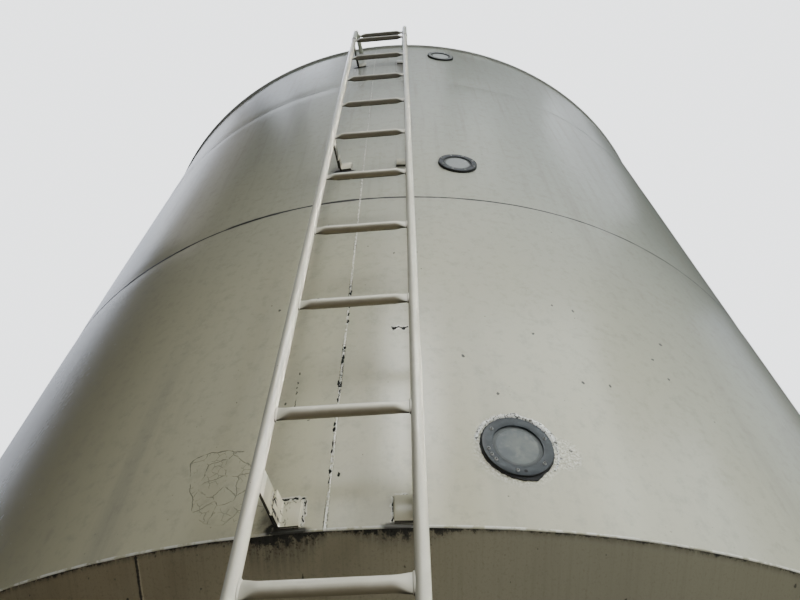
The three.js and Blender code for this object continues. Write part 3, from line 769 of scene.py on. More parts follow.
def frameFinish():
    finish, add = newFinish("splashed_enamel_on_frame", "frame_paint")
    at = binCoordinates(add)
    ground = clouded(add, at.position, 5.0, framePaint["cream"], framePaint["shade"])
    splash = add("TexNoise", Vector=at.position, Scale=18.0, Detail=5.0, Roughness=0.65)
    height = add("Math MULTIPLY_ADD", splash, -0.9, at.z)
    runs = add("TexNoise", Vector=at.streak, Scale=30.0, Detail=4.0, Roughness=0.6)
    layers = [(framePaint["splash"], 0.25, (height, 0.12, -0.35), 0.85),
              (framePaint["splash"], 0.1, (runs, 0.52, 0.75), 0.4)]
    paint(add, ground, layers, grain(add, at.position, 280.0, 0.00005), framePaint["roughness"])
    return finish


# Window rings: a dark slate coating, satin, with dust on it. At the top of the bin it is painted
# lighter, a painted sheen of the sky. It is black round the ring's outer side, and on the upper two
# rings painted shadow darkens the outer and inner edges of the face.
ringPaint = {"slate": "#20262a", "dust": "#3b4144", "sky sheen": "#909392", "side": "#0d0d0c",
             "roughness": 0.38}


# How far a point stands from the middle of each window
def fromWindows(add, at):
    for azimuth, height in windows.values():
        middle = roundPoint(azimuth, shellRadius + window["proud"] / 2, height)
        yield distanceTo(add, at.position, middle)


def ringFinish():
    finish, add = newFinish("dark_slate_coated_ring", "ring_paint")
    at = binCoordinates(add)
    ground = clouded(add, at.position, 55.0, ringPaint["slate"], ringPaint["dust"], 0.38, 0.8)
    # Painted sheen of the sky on the ring at the top of the bin
    layers = [(ringPaint["sky sheen"], 0.0, (at.z, 4.2, 4.7), 0.8)]
    for away in fromWindows(add, at):
        past = add("Math SUBTRACT", away, window["outer"])
        layers.append((ringPaint["side"], 0.3, (past, -0.0010, -0.0004), (past, 0.02, 0.01)))
        inner = add("Math SUBTRACT", away, window["hole"])
        # Painted shadow along the outer and inner edges of the face, on the upper two rings
        for edge, width in ((past, 0.0058), (inner, 0.0045)):
            layers.append((ringPaint["side"], 0.2, line(add, edge, width), (at.z, 2.8, 3.2), 0.85))
    paint(add, ground, layers, grain(add, at.position, 180.0, 0.00005), ringPaint["roughness"])
    return finish


# Panes: clear sheet gone cloudy with grain dust behind and weather in front. Higher up they are
# painted lighter, a painted reflection of the sky, and painted shadow of the ring darkens them round
# the hole's edge.
paneSheet = {"cloud": "#5d625c", "thin": "#42474a", "smear": "#777a70", "sky reflection": "#c6cac8",
             "edge": "#181b1a", "roughness": 0.15}


def paneFinish():
    finish, add = newFinish("clouded_acrylic_pane", "window_pane")
    at = binCoordinates(add)
    ground = clouded(add, at.position, 24.0, paneSheet["cloud"], paneSheet["thin"])
    smear = add("TexNoise", Vector=at.position, Scale=60.0, Detail=3.0)
    layers = [(paneSheet["smear"], 0.15, (smear, 0.48, 0.75), 0.5),
              # Painted reflection of the sky, stronger higher up
              (paneSheet["sky reflection"], 0.1, (at.z, 2.6, 3.2), 0.55),
              (paneSheet["sky reflection"], 0.1, (at.z, 3.6, 4.4), 0.9)]
    for away in fromWindows(add, at):
        # Painted shadow of the ring and the pane's dark rim, round the hole's edge
        layers.append((paneSheet["edge"], 0.2, line(add, away, 0.0085, window["hole"]), 0.85))
    paint(add, ground, layers, grain(add, at.position, 90.0, 0.00008), paneSheet["roughness"])
    return finish


# Rubber sheet between window and shell, black and dull, greyed by weather
def rubberFinish(name, black, grey):
    finish, add = newFinish(name, "ring_paint")
    position = add("TexCoord", output="Object")
    ground = clouded(add, position, 80.0, black, grey, 0.5, 0.8)
    paint(add, ground, [], grain(add, position, 240.0, 0.0001), 0.7)
    return finish


# Sealant smeared round the lowest window and painted over, pale, with dirt in its cracks
def sealantFinish():
    finish, add = newFinish("painted_over_sealant", "shell_paint")
    position = add("TexCoord", output="Object")
    ground = clouded(add, position, 60.0, "#efeee6", "#c2c1b7", 0.45, 0.8)
    crumbs = add("TexNoise", Vector=position, Scale=260.0, Detail=3.0)
    layers = [(enamel["dirt"], 0.2, (crumbs, 0.46, 0.41), 0.95)]
    paint(add, ground, layers, grain(add, position, 230.0, 0.0006), 0.5)
    return finish


# Zinc on steel: a mat grey spangle on the slide, in grains of 14 mm, brighter and of 2.5 mm on
# screws and bolts
def zincFinish(name, light, dark, roughness, spanglePerMetre):
    finish, add = newFinish(name, "zinc_plate")
    position = add("TexCoord", output="Object")
    cell = add("TexVoronoi", Vector=position, Scale=spanglePerMetre, output="Color")
    spangle = add("SeparateColor", cell)
    dull = add("TexNoise", Vector=position, Scale=14.0, Detail=4.0, Roughness=0.6)
    worn = add("Math MULTIPLY_ADD", spangle, 0.4, share(add, (dull, 0.35, 0.7), 0.6))
    colour = add("Mix", {0: worn, 6: linear(light), 7: linear(dark)}, output=2, data_type="RGBA")
    rough = add("Math MULTIPLY_ADD", worn, 0.2, roughness)
    shader = add("BsdfPrincipled", colour, Roughness=rough, Metallic=1.0)
    add("OutputMaterial", Surface=shader)
    return finish


# Sizes that the finishes share with the shapes further down
ladderJoint = {"height": 4.716, "reach": 1.63, "rung end": nodeBox("rung_01")[1][0]}
window = {
    "outer": 0.065, "hole": 0.046, "proud": 0.007, "edge": 0.0010, "pane": 0.056, "pane front": 0.0038,
    "pane back": 0.0008, "pane rim": 0.0006, "pole": 0.0004, "turns": 96, "screw circle": 0.0555,
    "screw head": 0.0035, "gasket thickness": 0.0032, "gasket tuck": 0.006,
    "foot": -0.0022,  # the wall falls away behind a flat ring by this much at its sides
}

print("materials")
shellEnamel = shellFinish()
coneEnamel = coneFinish()
ladderEnamel = ladderFinish("brushed_cream_enamel_on_rungs", True)
railEnamel = ladderFinish("brushed_cream_enamel_on_rails", False)
roofEnamel = roofFinish()
frameEnamel = frameFinish()
ringCoating = ringFinish()
paneCloud = paneFinish()
gasketRubber = rubberFinish("black_rubber_gasket", "#11110f", "#2a2a26")
# Painted shade: a black disc in the empty screw hole
holeShade = rubberFinish("painted_shade_in_a_screw_hole", "#020202", "#060605")
paleSealant = sealantFinish()
zincSlide = zincFinish("galvanised_slide_plate", "#9a9d9e", "#7d8081", 0.42, 70.0)
zincScrew = zincFinish("zinc_plated_fasteners", "#cfd0cf", "#a6a6a3", 0.5, 400.0)


# The shell's plates. The rolled plate waves in and out a little, and dips at its welds.
shell = {
    "seed": 11, "waves": 9, "wave depth": 0.0011, "weld dip": 0.0012, "dip reach": 0.05,
    "calm reach": 0.15, "calm foot": 0.10, "calm top": 0.08, "columns": 150, "rows per metre": 28,
    "least rows": 8, "crowding": 0.78, "seam gap": 0.00015, "patch margin": 0.085, "patch rings": 4,
}


# How far the plate stands out of a true cylinder: a sum of sines round the shell that shift
# with height, calmed to nothing round the windows and the ends, less a dip at each level weld
def plateWave(azimuth, height):
    rng = np.random.default_rng(shell["seed"])
    total = 0
    for turns in range(4, 4 + shell["waves"]):
        weight = rng.uniform(0.5, 1.0) / math.sqrt(turns / 4)
        phase, lean = rng.uniform(0, 2 * math.pi), rng.uniform(-3.5, 3.5)
        total = total + weight * np.sin(turns * azimuth + phase + lean * height)
    calm = rampTo(height - junctionZ, shell["calm foot"]) * rampTo(shellTopZ - height, shell["calm top"])
    for windowAzimuth, windowZ in windows.values():
        away = np.hypot((azimuth - windowAzimuth) * shellRadius, height - windowZ)
        calm = calm * (1 - np.exp(-((away / shell["calm reach"]) ** 4)))
    dips = sum(np.exp(-((height - seam) / shell["dip reach"]) ** 2) for seam in (midSeamZ, upperSeamZ))
    return shell["wave depth"] * total * calm - shell["weld dip"] * dips


def rampTo(value, reach):  # a smooth step from 0 to 1
    part = np.clip(value / reach, 0, 1)
    return part * part * (3 - 2 * part)


def wallPoint(azimuth, height):
    return roundPoint(azimuth, shellRadius + plateWave(azimuth, height), height)


# Steps from start to end, closer together at both ends: t - c sin(2 pi t) / (2 pi)
def crowded(start, end, count, crowding=shell["crowding"]):
    part = np.linspace(0, 1, count)
    part = part - crowding * np.sin(2 * math.pi * part) / (2 * math.pi)
    return start + (end - start) * part


# A sheet over azimuth and height. Round each window a block of the grid is taken out and
# filled with rings of quads that turn from the block's edge into the round hole.
def wallSheet(azimuths, heights, holes):
    wide, tall = np.meshgrid(azimuths, heights)
    blocks = [wallPoint(wide, tall).reshape(-1, 3)]
    quads = gridQuads(len(heights), len(azimuths))
    row, column = np.divmod(quads[:, 0], len(azimuths))
    kept = np.ones(len(quads), bool)
    ringQuads = []
    count = len(blocks[0])
    reach = shell["patch margin"]
    for holeAzimuth, holeZ in holes:
        left = np.searchsorted(azimuths, holeAzimuth - reach / shellRadius) - 1
        right = np.searchsorted(azimuths, holeAzimuth + reach / shellRadius)
        low = np.searchsorted(heights, holeZ - reach) - 1
        high = np.searchsorted(heights, holeZ + reach)
        kept &= ~((row >= low) & (row < high) & (column >= left) & (column < right))
        edgeRow = np.concatenate([np.full(right - left, low), np.arange(low, high),
                                  np.full(right - left, high), np.arange(high, low, -1)])
        edgeColumn = np.concatenate([np.arange(left, right), np.full(high - low, right),
                                     np.arange(right, left, -1), np.full(high - low, left)])
        edge = edgeRow * len(azimuths) + edgeColumn
        edgeArc = (azimuths[edgeColumn] - holeAzimuth) * shellRadius
        edgeRise = heights[edgeRow] - holeZ
        angle = np.arctan2(edgeRise, edgeArc)
        part = np.linspace(0, 1, shell["patch rings"] + 1)[:-1, None]
        arc = window["hole"] * np.cos(angle) * (1 - part) + edgeArc * part
        climb = window["hole"] * np.sin(angle) * (1 - part) + edgeRise * part
        blocks.append(wallPoint(holeAzimuth + arc / shellRadius, holeZ + climb).reshape(-1, 3))
        ringQuads.append(gridQuads(len(part), len(edge), wrapColumns=True) + count)
        last = count + (len(part) - 1) * len(edge) + np.arange(len(edge))
        ringQuads.append(np.stack([last, np.roll(last, -1), np.roll(edge, -1), edge], axis=-1))
        count += len(part) * len(edge)
    allQuads = np.concatenate([quads[kept]] + ringQuads)
    used, corners = np.unique(allQuads, return_inverse=True)
    return np.concatenate(blocks)[used], corners.reshape(-1, 4), []


def makeShell():
    gap = shell["seam gap"] / shellRadius
    courses = {"lower": (junctionZ, midSeamZ), "middle": (midSeamZ, upperSeamZ),
               "upper": (upperSeamZ, shellTopZ)}
    halves = {"right": shellSeam, "left": shellSeam + math.pi}
    for course, (bottom, top) in courses.items():
        rows = shell["least rows"] + int((top - bottom) * shell["rows per metre"])
        heights = crowded(bottom, top, rows)
        for half, start in halves.items():
            azimuths = crowded(start + gap, start + math.pi - gap, shell["columns"])
            holes = [windows[course]] if half == "right" else []
            node = f"shell_{course}_{half}"
            makePiece(node + "_plate", [wallSheet(azimuths, heights, holes)], shellEnamel,
                      [node], wall=plateThickness, inside=(0, axisY, (bottom + top) / 2))


# Weld beads of the shell: level ones between the courses, the one at the junction with the cone,
# and the two upright ones, which were filled and painted over. A bead is a width and a height.
shellWelds = {"seed": 3, "level step": 0.011, "upright step": 0.006, "level bead": (0.0075, 0.0016),
              "junction bead": (0.0048, 0.0025), "upright bead": (0.0048, 0.0019),
              "junction sunk": 0.0004, "wander": (0.0012, 0.0009)}


def ringAzimuths(radius, step):
    return np.linspace(0, 2 * math.pi, int(2 * math.pi * radius / step), endpoint=False)


def makeShellWelds():
    rng = np.random.default_rng(shellWelds["seed"])
    azimuth = ringAzimuths(shellRadius, shellWelds["level step"])
    beads = [bead(wallPoint(azimuth, np.full_like(azimuth, seam)), upwards, outOf(azimuth),
                  *shellWelds["level bead"], rng, closed=True) for seam in (midSeamZ, upperSeamZ)]
    makePiece("shell_level_welds", beads, shellEnamel, sharp=70)

    height = np.arange(junctionZ, shellTopZ, shellWelds["upright step"])
    slow, quick = shellWelds["wander"]
    wander = slow * np.sin(height * 31) + quick * np.sin(height * 77 + 1)
    beads = []
    for start in (shellSeam, shellSeam + math.pi):
        along = np.full_like(height, start) + wander / shellRadius
        beads.append(bead(wallPoint(along, height), roundWay(along), outOf(along),
                          *shellWelds["upright bead"], rng))
    makePiece("shell_upright_welds", beads, shellEnamel, sharp=70)

    radius = shellRadius - shellWelds["junction sunk"]
    junction = bendBead(azimuth, radius, junctionZ, shellWelds["junction bead"], rng)
    makePiece("junction_weld", [junction], shellEnamel, sharp=70)


# The plates of a cone, side by side from a starting azimuth, and for each the weld bead along its
# first edge. Their outside is a height over azimuth and radius, and it faces up or down.
def conePlates(kind, places, start, sizes, finish, rng, heightAt):
    gap = math.radians(0.006)
    turn = 2 * math.pi / len(places)
    inner, outer = sizes["inner"], sizes["outer"]
    radii = crowded(inner, outer, sizes["rows"], 0.5)
    for number, place in enumerate(places):
        edge = start + number * turn
        wide, out = np.meshgrid(np.linspace(edge + gap, edge + turn - gap, sizes["columns"]), radii)
        sheet = roundPoint(wide, out, heightAt(wide, out))
        patch = (sheet.reshape(-1, 3), gridQuads(*wide.shape), [])
        makePiece(f"{kind}_{place}_plate", [patch], finish, [f"{kind}_{place}"],
                  wall=sizes["thickness"], inside=(0, axisY, junctionZ))
        radius = np.arange(inner + sizes["bead inset"], outer - 0.002, sizes["bead step"])
        along = np.full_like(radius, edge)
        path = roundPoint(along, radius, heightAt(along, radius))
        slope, faces = sizes["slope"], sizes["faces"]
        face = outOf(edge) * math.sin(slope) + faces * upwards * math.cos(slope)
        yield bead(path, roundWay(edge), face, *sizes["bead"], rng)


# The cone: three plates, and the welds between them
neckLow, neckHigh = nodeBox("outlet_neck")
neckRadius = (neckHigh[1] - neckLow[1]) / 2
cone = {"slope": coneSlope, "faces": -1, "inner": neckRadius, "outer": shellRadius, "columns": 74,
        "rows": 22, "thickness": plateThickness, "bead": (0.008, 0.0022), "neck bead": (0.010, 0.004),
        "bead step": 0.012, "bead inset": 0.002, "seed": 7}


def coneZ(radius):  # height of the cone's outside
    return junctionZ - (shellRadius - radius) * math.tan(coneSlope)


def makeCone():
    rng = np.random.default_rng(cone["seed"])
    beads = list(conePlates("cone", ("front_right", "back", "front_left"), coneSeam, cone, coneEnamel,
                            rng, lambda azimuth, radius: coneZ(radius)))
    azimuth = ringAzimuths(neckRadius, cone["bead step"])
    beads.append(bendBead(azimuth, neckRadius, neckHigh[2], cone["neck bead"], rng))
    makePiece("cone_welds", beads, coneEnamel, sharp=70)


# The round outlet, its flange and bolts, and the slide gate under it
outlet = {"flange bolts": 8, "bolt circle": 0.178, "bolt across": 0.024, "head": 0.010,
          "bead": (0.010, 0.003), "bead step": 0.008, "bead off": 0.001, "sink": 0.0002,
          "plate corner": 0.006, "handle": 0.005, "handle half": 0.09, "blade short": 0.002}
# A bolt's parts in metres, but the washer, crown and thread as shares of its size across
bolt = {"washer": 0.62, "washer top": 0.0022, "sunk": 0.0004, "head foot": 0.0020, "chamfer": 0.0016,
        "crown": 0.84, "thread": 0.32, "thread chamfer": 0.0015, "pole": 0.0005}
flangeLow, flangeHigh = nodeBox("outlet_flange")
gateLow, gateHigh = nodeBox("slide_gate_frame")
bladeLow, bladeHigh = nodeBox("slide_gate_blade")


# A hexagon bolt head or nut with a washer under it, standing on a face. Its crown is chamfered.
def boltPatches(centre, basis, across, head, stud=0.0):
    corner, rim, pole = across / math.sqrt(3), across * bolt["washer"], bolt["pole"]
    foot, low, high, top = bolt["head foot"], -bolt["sunk"], bolt["washer top"], head + bolt["chamfer"]
    washer = [[pole, low], [rim, low], [rim, high], [pole, high]]
    hexagon = [[pole, foot], [corner, foot], [corner, head], [corner * bolt["crown"], top], [pole, top]]
    patches = [loft(centre + turned(washer, 20) @ basis), loft(centre + turned(hexagon, 6) @ basis)]
    if stud:
        thread, end = across * bolt["thread"], head + stud
        shank = [[pole, 0.0], [thread, 0.0], [thread, end - bolt["thread chamfer"]],
                 [thread * 0.75, end], [pole, end]]
        patches.append(loft(centre + turned(shank, 14) @ basis))
    return patches


# A flat plate with a round hole: rings of quads that turn from the oblong edge into the circle,
# on the top and bottom faces, joined round the outside and inside the hole
def holedPlate(width, depth, holeRadius, bottom, top, corners=72):
    angle = np.linspace(0, 2 * math.pi, corners, endpoint=False) + math.pi / corners
    direction = np.stack([np.cos(angle), np.sin(angle)], axis=-1)
    half = np.array([width, depth]) / 2
    edge = direction * np.min(half / np.maximum(np.abs(direction), 1e-9), axis=1, keepdims=True)
    part = np.array([0.0, 0.35, 0.7, 1.0])[:, None, None]
    rings = holeRadius * direction * (1 - part) + edge * part
    levelsUp = np.concatenate([np.full(len(rings), top), np.full(len(rings), bottom)])
    flat = np.concatenate([rings, rings[::-1]])
    points = np.concatenate([flat, np.broadcast_to(levelsUp[:, None, None], flat.shape[:2] + (1,))],
                            axis=-1)
    return loft(points + np.array([0, axisY, 0]), closed=True)


def oblong(low, high):
    width, depth = high[0] - low[0], high[1] - low[1]
    centre = (np.asarray(low) + np.asarray(high)) / 2
    return plate(roundedOblong(width, depth, outlet["plate corner"], 3), high[2] - low[2], centre, plumb)


def makeOutlet():
    centre = np.array([0.0, axisY, 0.0])
    hole = neckRadius - plateThickness
    makePiece("outlet_neck_tube", [tube(centre, neckRadius, hole, neckLow[2], neckHigh[2])], coneEnamel,
              ["outlet_neck"], bevel=0.0006)
    rim = (flangeHigh[1] - flangeLow[1]) / 2
    flange = tube(centre, rim, neckRadius + fitGap, flangeLow[2], flangeHigh[2])
    makePiece("outlet_flange_ring", [flange], frameEnamel, ["outlet_flange"], bevel=0.0012)
    azimuth = ringAzimuths(neckRadius, outlet["bead step"])
    off = outlet["bead off"]
    path = roundPoint(azimuth, neckRadius + off, flangeHigh[2] + off)
    rng = np.random.default_rng(cone["seed"] + 1)
    weld = fillet(path, outOf(azimuth), upwards, *outlet["bead"], rng)
    makePiece("outlet_flange_weld", [weld], frameEnamel, sharp=70)
    bolts = []
    for number in range(outlet["flange bolts"]):
        angle = 2 * math.pi * (number + 0.5) / outlet["flange bolts"]
        spot = roundPoint(angle, outlet["bolt circle"], flangeHigh[2])
        bolts += boltPatches(spot, plumb, outlet["bolt across"], outlet["head"])
    makePiece("outlet_flange_bolts", bolts, zincScrew, sharp=25)

    # The gate's two holed plates, with guides at three sides of the slot between them
    width, depth = gateHigh[0] - gateLow[0], gateHigh[1] - gateLow[1]
    middle, half = (gateLow[2] + gateHigh[2]) / 2, plateThickness / 2
    slotLow, slotHigh = middle - half - fitGap, middle + half + fitGap
    guide = (bladeHigh[1] - bladeLow[1]) / 2 + fitGap
    sink, reach = outlet["sink"], outlet["handle half"]
    low, high = slotLow - sink, slotHigh + sink
    patches = [holedPlate(width, depth, hole, gateLow[2], slotLow),
               holedPlate(width, depth, hole, slotHigh, gateHigh[2]),
               oblong([gateLow[0], gateLow[1], low], [gateHigh[0], axisY - guide, high]),
               oblong([gateLow[0], axisY + guide, low], [gateHigh[0], gateHigh[1], high]),
               oblong([gateLow[0], axisY - guide, low], [bladeLow[0] - sink, axisY + guide, high])]
    makePiece("slide_gate_body", patches, frameEnamel, ["slide_gate_frame"], bevel=0.0012)
    handle = oblong([bladeHigh[0] - outlet["handle"], axisY - reach, bladeLow[2]],
                    [bladeHigh[0], axisY + reach, bladeHigh[2]])
    blade = oblong([bladeLow[0], bladeLow[1], middle - half],
                   [bladeHigh[0] - outlet["blade short"], bladeHigh[1], middle + half])
    makePiece("slide_gate_slide", [blade, handle], zincSlide, ["slide_gate_blade"], bevel=0.0008)


# The roof: two plates of a low cone with a drip edge past the shell, their welds, and the collars
# and lids of the filling hole and the hatch
roofLow = nodeBox("roof_front")[0]
roofEdge = axisY - roofLow[1]
fillLow, fillHigh = nodeBox("fill_collar")
fillRadius = (fillHigh[1] - fillLow[1]) / 2
fillLidLow, fillLidHigh = nodeBox("fill_lid")
roofInner = fillRadius + fitGap
roof = {"slope": math.radians(20), "faces": 1, "inner": roofInner, "outer": roofEdge, "columns": 110,
        "rows": 24, "thickness": 0.004, "bead": (0.008, 0.0022), "eaves bead": (0.009, 0.003),
        "collar bead": (0.012, 0.004), "bead step": 0.014, "collar bead step": 0.010,
        "bead inset": 0.0, "seed": 21, "wave depth": 0.0025}
# The plate's own upright thickness is taken off the box before the slope is worked out
roofUpright = roof["thickness"] / math.cos(roof["slope"])


def roofOverZ(radius):  # height of the roof's outside
    return roofLow[2] + roofUpright + (roofEdge - radius) * math.tan(roof["slope"])


# The roof sags a little between its rim and its collar: sin(pi t) times two slow waves round it
def roofSag(azimuth, radius):
    part = np.clip((roofEdge - radius) / (roofEdge - roofInner), 0, 1)
    waves = 0.6 + 0.25 * np.sin(5 * azimuth + 1) + 0.15 * np.sin(8 * azimuth)
    return -roof["wave depth"] * np.sin(math.pi * part) * waves


def makeRoof():
    rng = np.random.default_rng(roof["seed"])
    beads = list(conePlates("roof", ("front", "back"), -math.pi / 2, roof, roofEnamel, rng,
                            lambda azimuth, radius: roofOverZ(radius) + roofSag(azimuth, radius)))
    azimuth = ringAzimuths(shellRadius, roof["bead step"])
    path = roundPoint(azimuth, shellRadius, shellTopZ)
    beads.append(fillet(path, outOf(azimuth), -upwards, *roof["eaves bead"], rng))
    azimuth = ringAzimuths(fillRadius, roof["collar bead step"])
    path = roundPoint(azimuth, fillRadius, roofOverZ(fillRadius))
    beads.append(fillet(path, outOf(azimuth), upwards, *roof["collar bead"], rng))
    makePiece("roof_welds", beads, roofEnamel, sharp=70)


# Collars and lids. The hatch stands square to the roof, in line with the ladder.
lids = {"wall": 0.004, "thickness": 0.003, "skirt": 0.024, "shoulder": 0.006, "pole": 0.0004,
        "hatch distance": 1.0, "hatch height": 0.080, "hatch sunk": -0.012, "handle rod": 0.005,
        "handle reach": 0.06, "handle rise": 0.045, "handle bend": 0.014, "handle sunk": 0.004}


# A lid's section from its middle outwards and back: a shallow crown, a rounded shoulder and a
# skirt, then the hollow inside. Its place is the height of its underside.
def lidProfile(radius, under, rise):
    thickness, skirt, shoulder, pole = (lids[key] for key in ("thickness", "skirt", "shoulder", "pole"))
    bend = np.linspace(0, math.pi / 2, 6)
    top = under + thickness
    outer = [[radius - shoulder + shoulder * math.sin(b), top - shoulder + shoulder * math.cos(b)]
             for b in bend]
    crown = [[part * (radius - shoulder), top + rise * (1 - part)] for part in np.linspace(0, 0.94, 8)]
    crown[0][0] = pole
    lip = under - skirt
    inner = radius - thickness
    hollow = [[inner, lip], [inner, under], [inner * 0.5, under + rise * 0.46], [pole, under + rise]]
    return crown + outer + [[radius, lip]] + hollow


# A bent rod for lifting a lid: up, across and down, its corners rounded by short arcs
def handlePath(foot):
    bend = np.linspace(0, math.pi / 2, 7)
    reach, lift, radius = lids["handle reach"], lids["handle rise"], lids["handle bend"]
    left = np.stack([-reach + radius * (1 - np.cos(bend)), foot + lift - radius * (1 - np.sin(bend))],
                    axis=-1)
    half = np.concatenate([[[-reach, foot - lids["handle sunk"]]], left])
    other = half[::-1] * np.array([-1, 1])
    both = np.concatenate([half, other])
    return np.stack([both[:, 0], np.zeros(len(both)), both[:, 1]], axis=-1)


def makeRoofOpenings():
    thickness = lids["thickness"]
    fillLid = (fillLidHigh[1] - fillLidLow[1]) / 2
    rise = fillLidHigh[2] - fillHigh[2] - thickness
    fillFoot = fillLidHigh[2] - rise * lids["handle reach"] / fillLid
    collarLow, collarHigh = nodeBox("hatch_collar")
    lidLow, lidHigh = nodeBox("hatch_lid")
    hatchRadius, hatchLid = (collarHigh[0] - collarLow[0]) / 2, (lidHigh[0] - lidLow[0]) / 2
    height, distance = lids["hatch height"], lids["hatch distance"]
    hatchSpot = np.array([0.0, axisY - distance, roofOverZ(distance)])
    lean, climb = math.cos(roof["slope"]), math.sin(roof["slope"])
    square = np.array([[1.0, 0.0, 0.0], [0.0, lean, climb], [0.0, -climb, lean]])  # square to the roof
    for name, spot, basis, radius, lidRadius, low, high, crown, foot in (
        ("fill", np.array([0.0, axisY, 0.0]), plumb, fillRadius, fillLid, fillLow[2], fillHigh[2],
         rise, fillFoot),
        ("hatch", hatchSpot, square, hatchRadius, hatchLid, lids["hatch sunk"], height,
         0.0, height + thickness),
    ):
        collar = tube(spot, radius, radius - lids["wall"], low, high, basis)
        makePiece(name + "_collar_ring", [collar], roofEnamel, [name + "_collar"], bevel=0.0008)
        pan = turned(lidProfile(lidRadius, high + fitGap, crown), 96)
        makePiece(name + "_lid_pan", [loft(spot + pan @ basis)], roofEnamel, [name + "_lid"], sharp=40)
        grip = rod(spot + handlePath(foot) @ basis, lids["handle rod"], 12, basis[1])
        makePiece(name + "_lid_handle", [grip], roofEnamel, sharp=60)
    around = circle(120)
    rng = np.random.default_rng(roof["seed"] + 1)
    weld = fillet(hatchSpot + (around * hatchRadius) @ square, around, upwards, *roof["collar bead"],
                  rng, square)
    makePiece("hatch_collar_weld", [weld], roofEnamel, sharp=70)


# Legs of square tube, coped to the cone, with a gusset inside each and a bolted foot plate
legs = {"side": 0.100, "corner": 0.011, "wall": 0.005, "gusset": 0.008, "drop": 0.330, "reach": 0.170,
        "snip": 0.012, "sunk": 0.003, "inset": 0.015, "foot": 0.220, "foot corner": 0.010,
        "bolt spread": 0.078, "bolt across": 0.030, "nut": 0.016, "stud": 0.016,
        "bead": (0.011, 0.0035), "seed": 33}
legAzimuths = {"front_right": 45, "back_right": 135, "back_left": 225, "front_left": 315}


# A leg's outline at its place, level at a height or, where none is given, cut to the cone
def legOutline(outline, basis, centre, height=None):
    points = inPlane(outline) @ basis + centre
    radius = np.hypot(points[:, 0], points[:, 1] - axisY)
    points[:, 2] = coneZ(radius) if height is None else height
    return points


def makeLegs():
    rng = np.random.default_rng(legs["seed"])
    side, wall, corner, drop, reach = (legs[key] for key in ("side", "wall", "corner", "drop", "reach"))
    middle = shellRadius - legs["inset"] - side / 2
    inner = middle - side / 2
    outer = roundedOblong(side, side, corner)
    bore = roundedOblong(side - 2 * wall, side - 2 * wall, corner - wall)
    rim = roundedOblong(side, side, corner, 5)
    away = inPlane(rim / np.linalg.norm(rim, axis=1, keepdims=True))
    top, snip, sunk = coneZ(inner), legs["snip"], -inner - legs["sunk"]
    gussetOutline = [[-inner, top - drop], [-inner + reach, coneZ(inner - reach)],
                     [-inner + snip, top - snip], [sunk, top - snip / 2],
                     [sunk, top - drop + legs["sunk"]]]
    beads, bolts = [], []
    for place, degrees in legAzimuths.items():
        azimuth = math.radians(degrees)
        footLow, footHigh = nodeBox(f"foot_plate_{place}")
        footTop, thickness = footHigh[2], footHigh[2] - footLow[2]
        basis = np.stack([roundWay(azimuth), outOf(azimuth), upwards])
        centre = roundPoint(azimuth, middle, 0.0)
        ends = ((outer, footTop), (outer, None), (bore, None), (bore, footTop))
        post = loft(np.stack([legOutline(outline, basis, centre, height) for outline, height in ends]),
                    closed=True)
        upright = np.stack([-outOf(azimuth), upwards, roundWay(azimuth)])
        gusset = plate(gussetOutline, legs["gusset"], roundPoint(azimuth, 0.0, 0.0), upright)
        makePiece(f"leg_{place}_post", [post, gusset], frameEnamel, [f"leg_{place}"], bevel=0.0008,
                  sharp=40)
        base = plate(roundedOblong(legs["foot"], legs["foot"], legs["foot corner"]), thickness,
                     centre + upwards * thickness / 2, basis)
        makePiece(f"foot_plate_{place}_base", [base], frameEnamel, [f"foot_plate_{place}"], bevel=0.0012)
        for dx, dy in ((-1, -1), (-1, 1), (1, -1), (1, 1)):
            spot = centre + (np.array([dx, dy, 0]) * legs["bolt spread"]) @ basis + upwards * footTop
            bolts += boltPatches(spot, basis, legs["bolt across"], legs["nut"], legs["stud"])
        # Fillets round the leg at its foot and under the cone
        for height, up in ((footTop, upwards), (None, -upwards)):
            path = legOutline(rim, basis, centre, height)
            beads.append(fillet(path, away @ basis, up, *legs["bead"], rng))
    makePiece("leg_welds", beads, frameEnamel, sharp=70)
    makePiece("foot_anchor_nuts", bolts, zincScrew, sharp=25)


# Sight windows: a flat ring screwed over a pane, on a sheet of rubber cut by hand. Places round a
# window are in degrees, anticlockwise from its right side. At the lowest window the screws are
# unevenly spaced, one is gone, and the rubber sticks out below in a ragged tongue.
windowScrews = {
    "lower": (20.4, 142.0, 192.0, 205.5, 218.0, 261.0, 318.0),
    "middle": (22.0, 69.0, 111.0, 158.0, 203.0, 247.0, 292.0, 338.0),
    "upper": (25.0, 66.0, 113.0, 155.0, 202.0, 249.0, 290.0, 335.0),
}
emptyHole = {"level": "lower", "turn": 275.6, "radius": 0.0032, "low": -0.0004, "high": 0.00012}
rubberReach = {  # turn and radius of the rubber's edge, in degrees and metres
    "lower": ((0, 0.0668), (40, 0.0680), (95, 0.0684), (150, 0.0676), (195, 0.0670), (232, 0.0670),
              (242, 0.0676), (258, 0.0690), (273, 0.0706), (285, 0.0726), (291, 0.0742), (295, 0.0722),
              (299, 0.0694), (306, 0.0672), (360, 0.0668)),
    "middle": ((0, 0.0652), (180, 0.0652), (235, 0.0662), (270, 0.0672), (300, 0.0668), (360, 0.0652)),
    "upper": ((0, 0.0652), (180, 0.0652), (235, 0.0662), (270, 0.0668), (300, 0.0664), (360, 0.0652)),
}
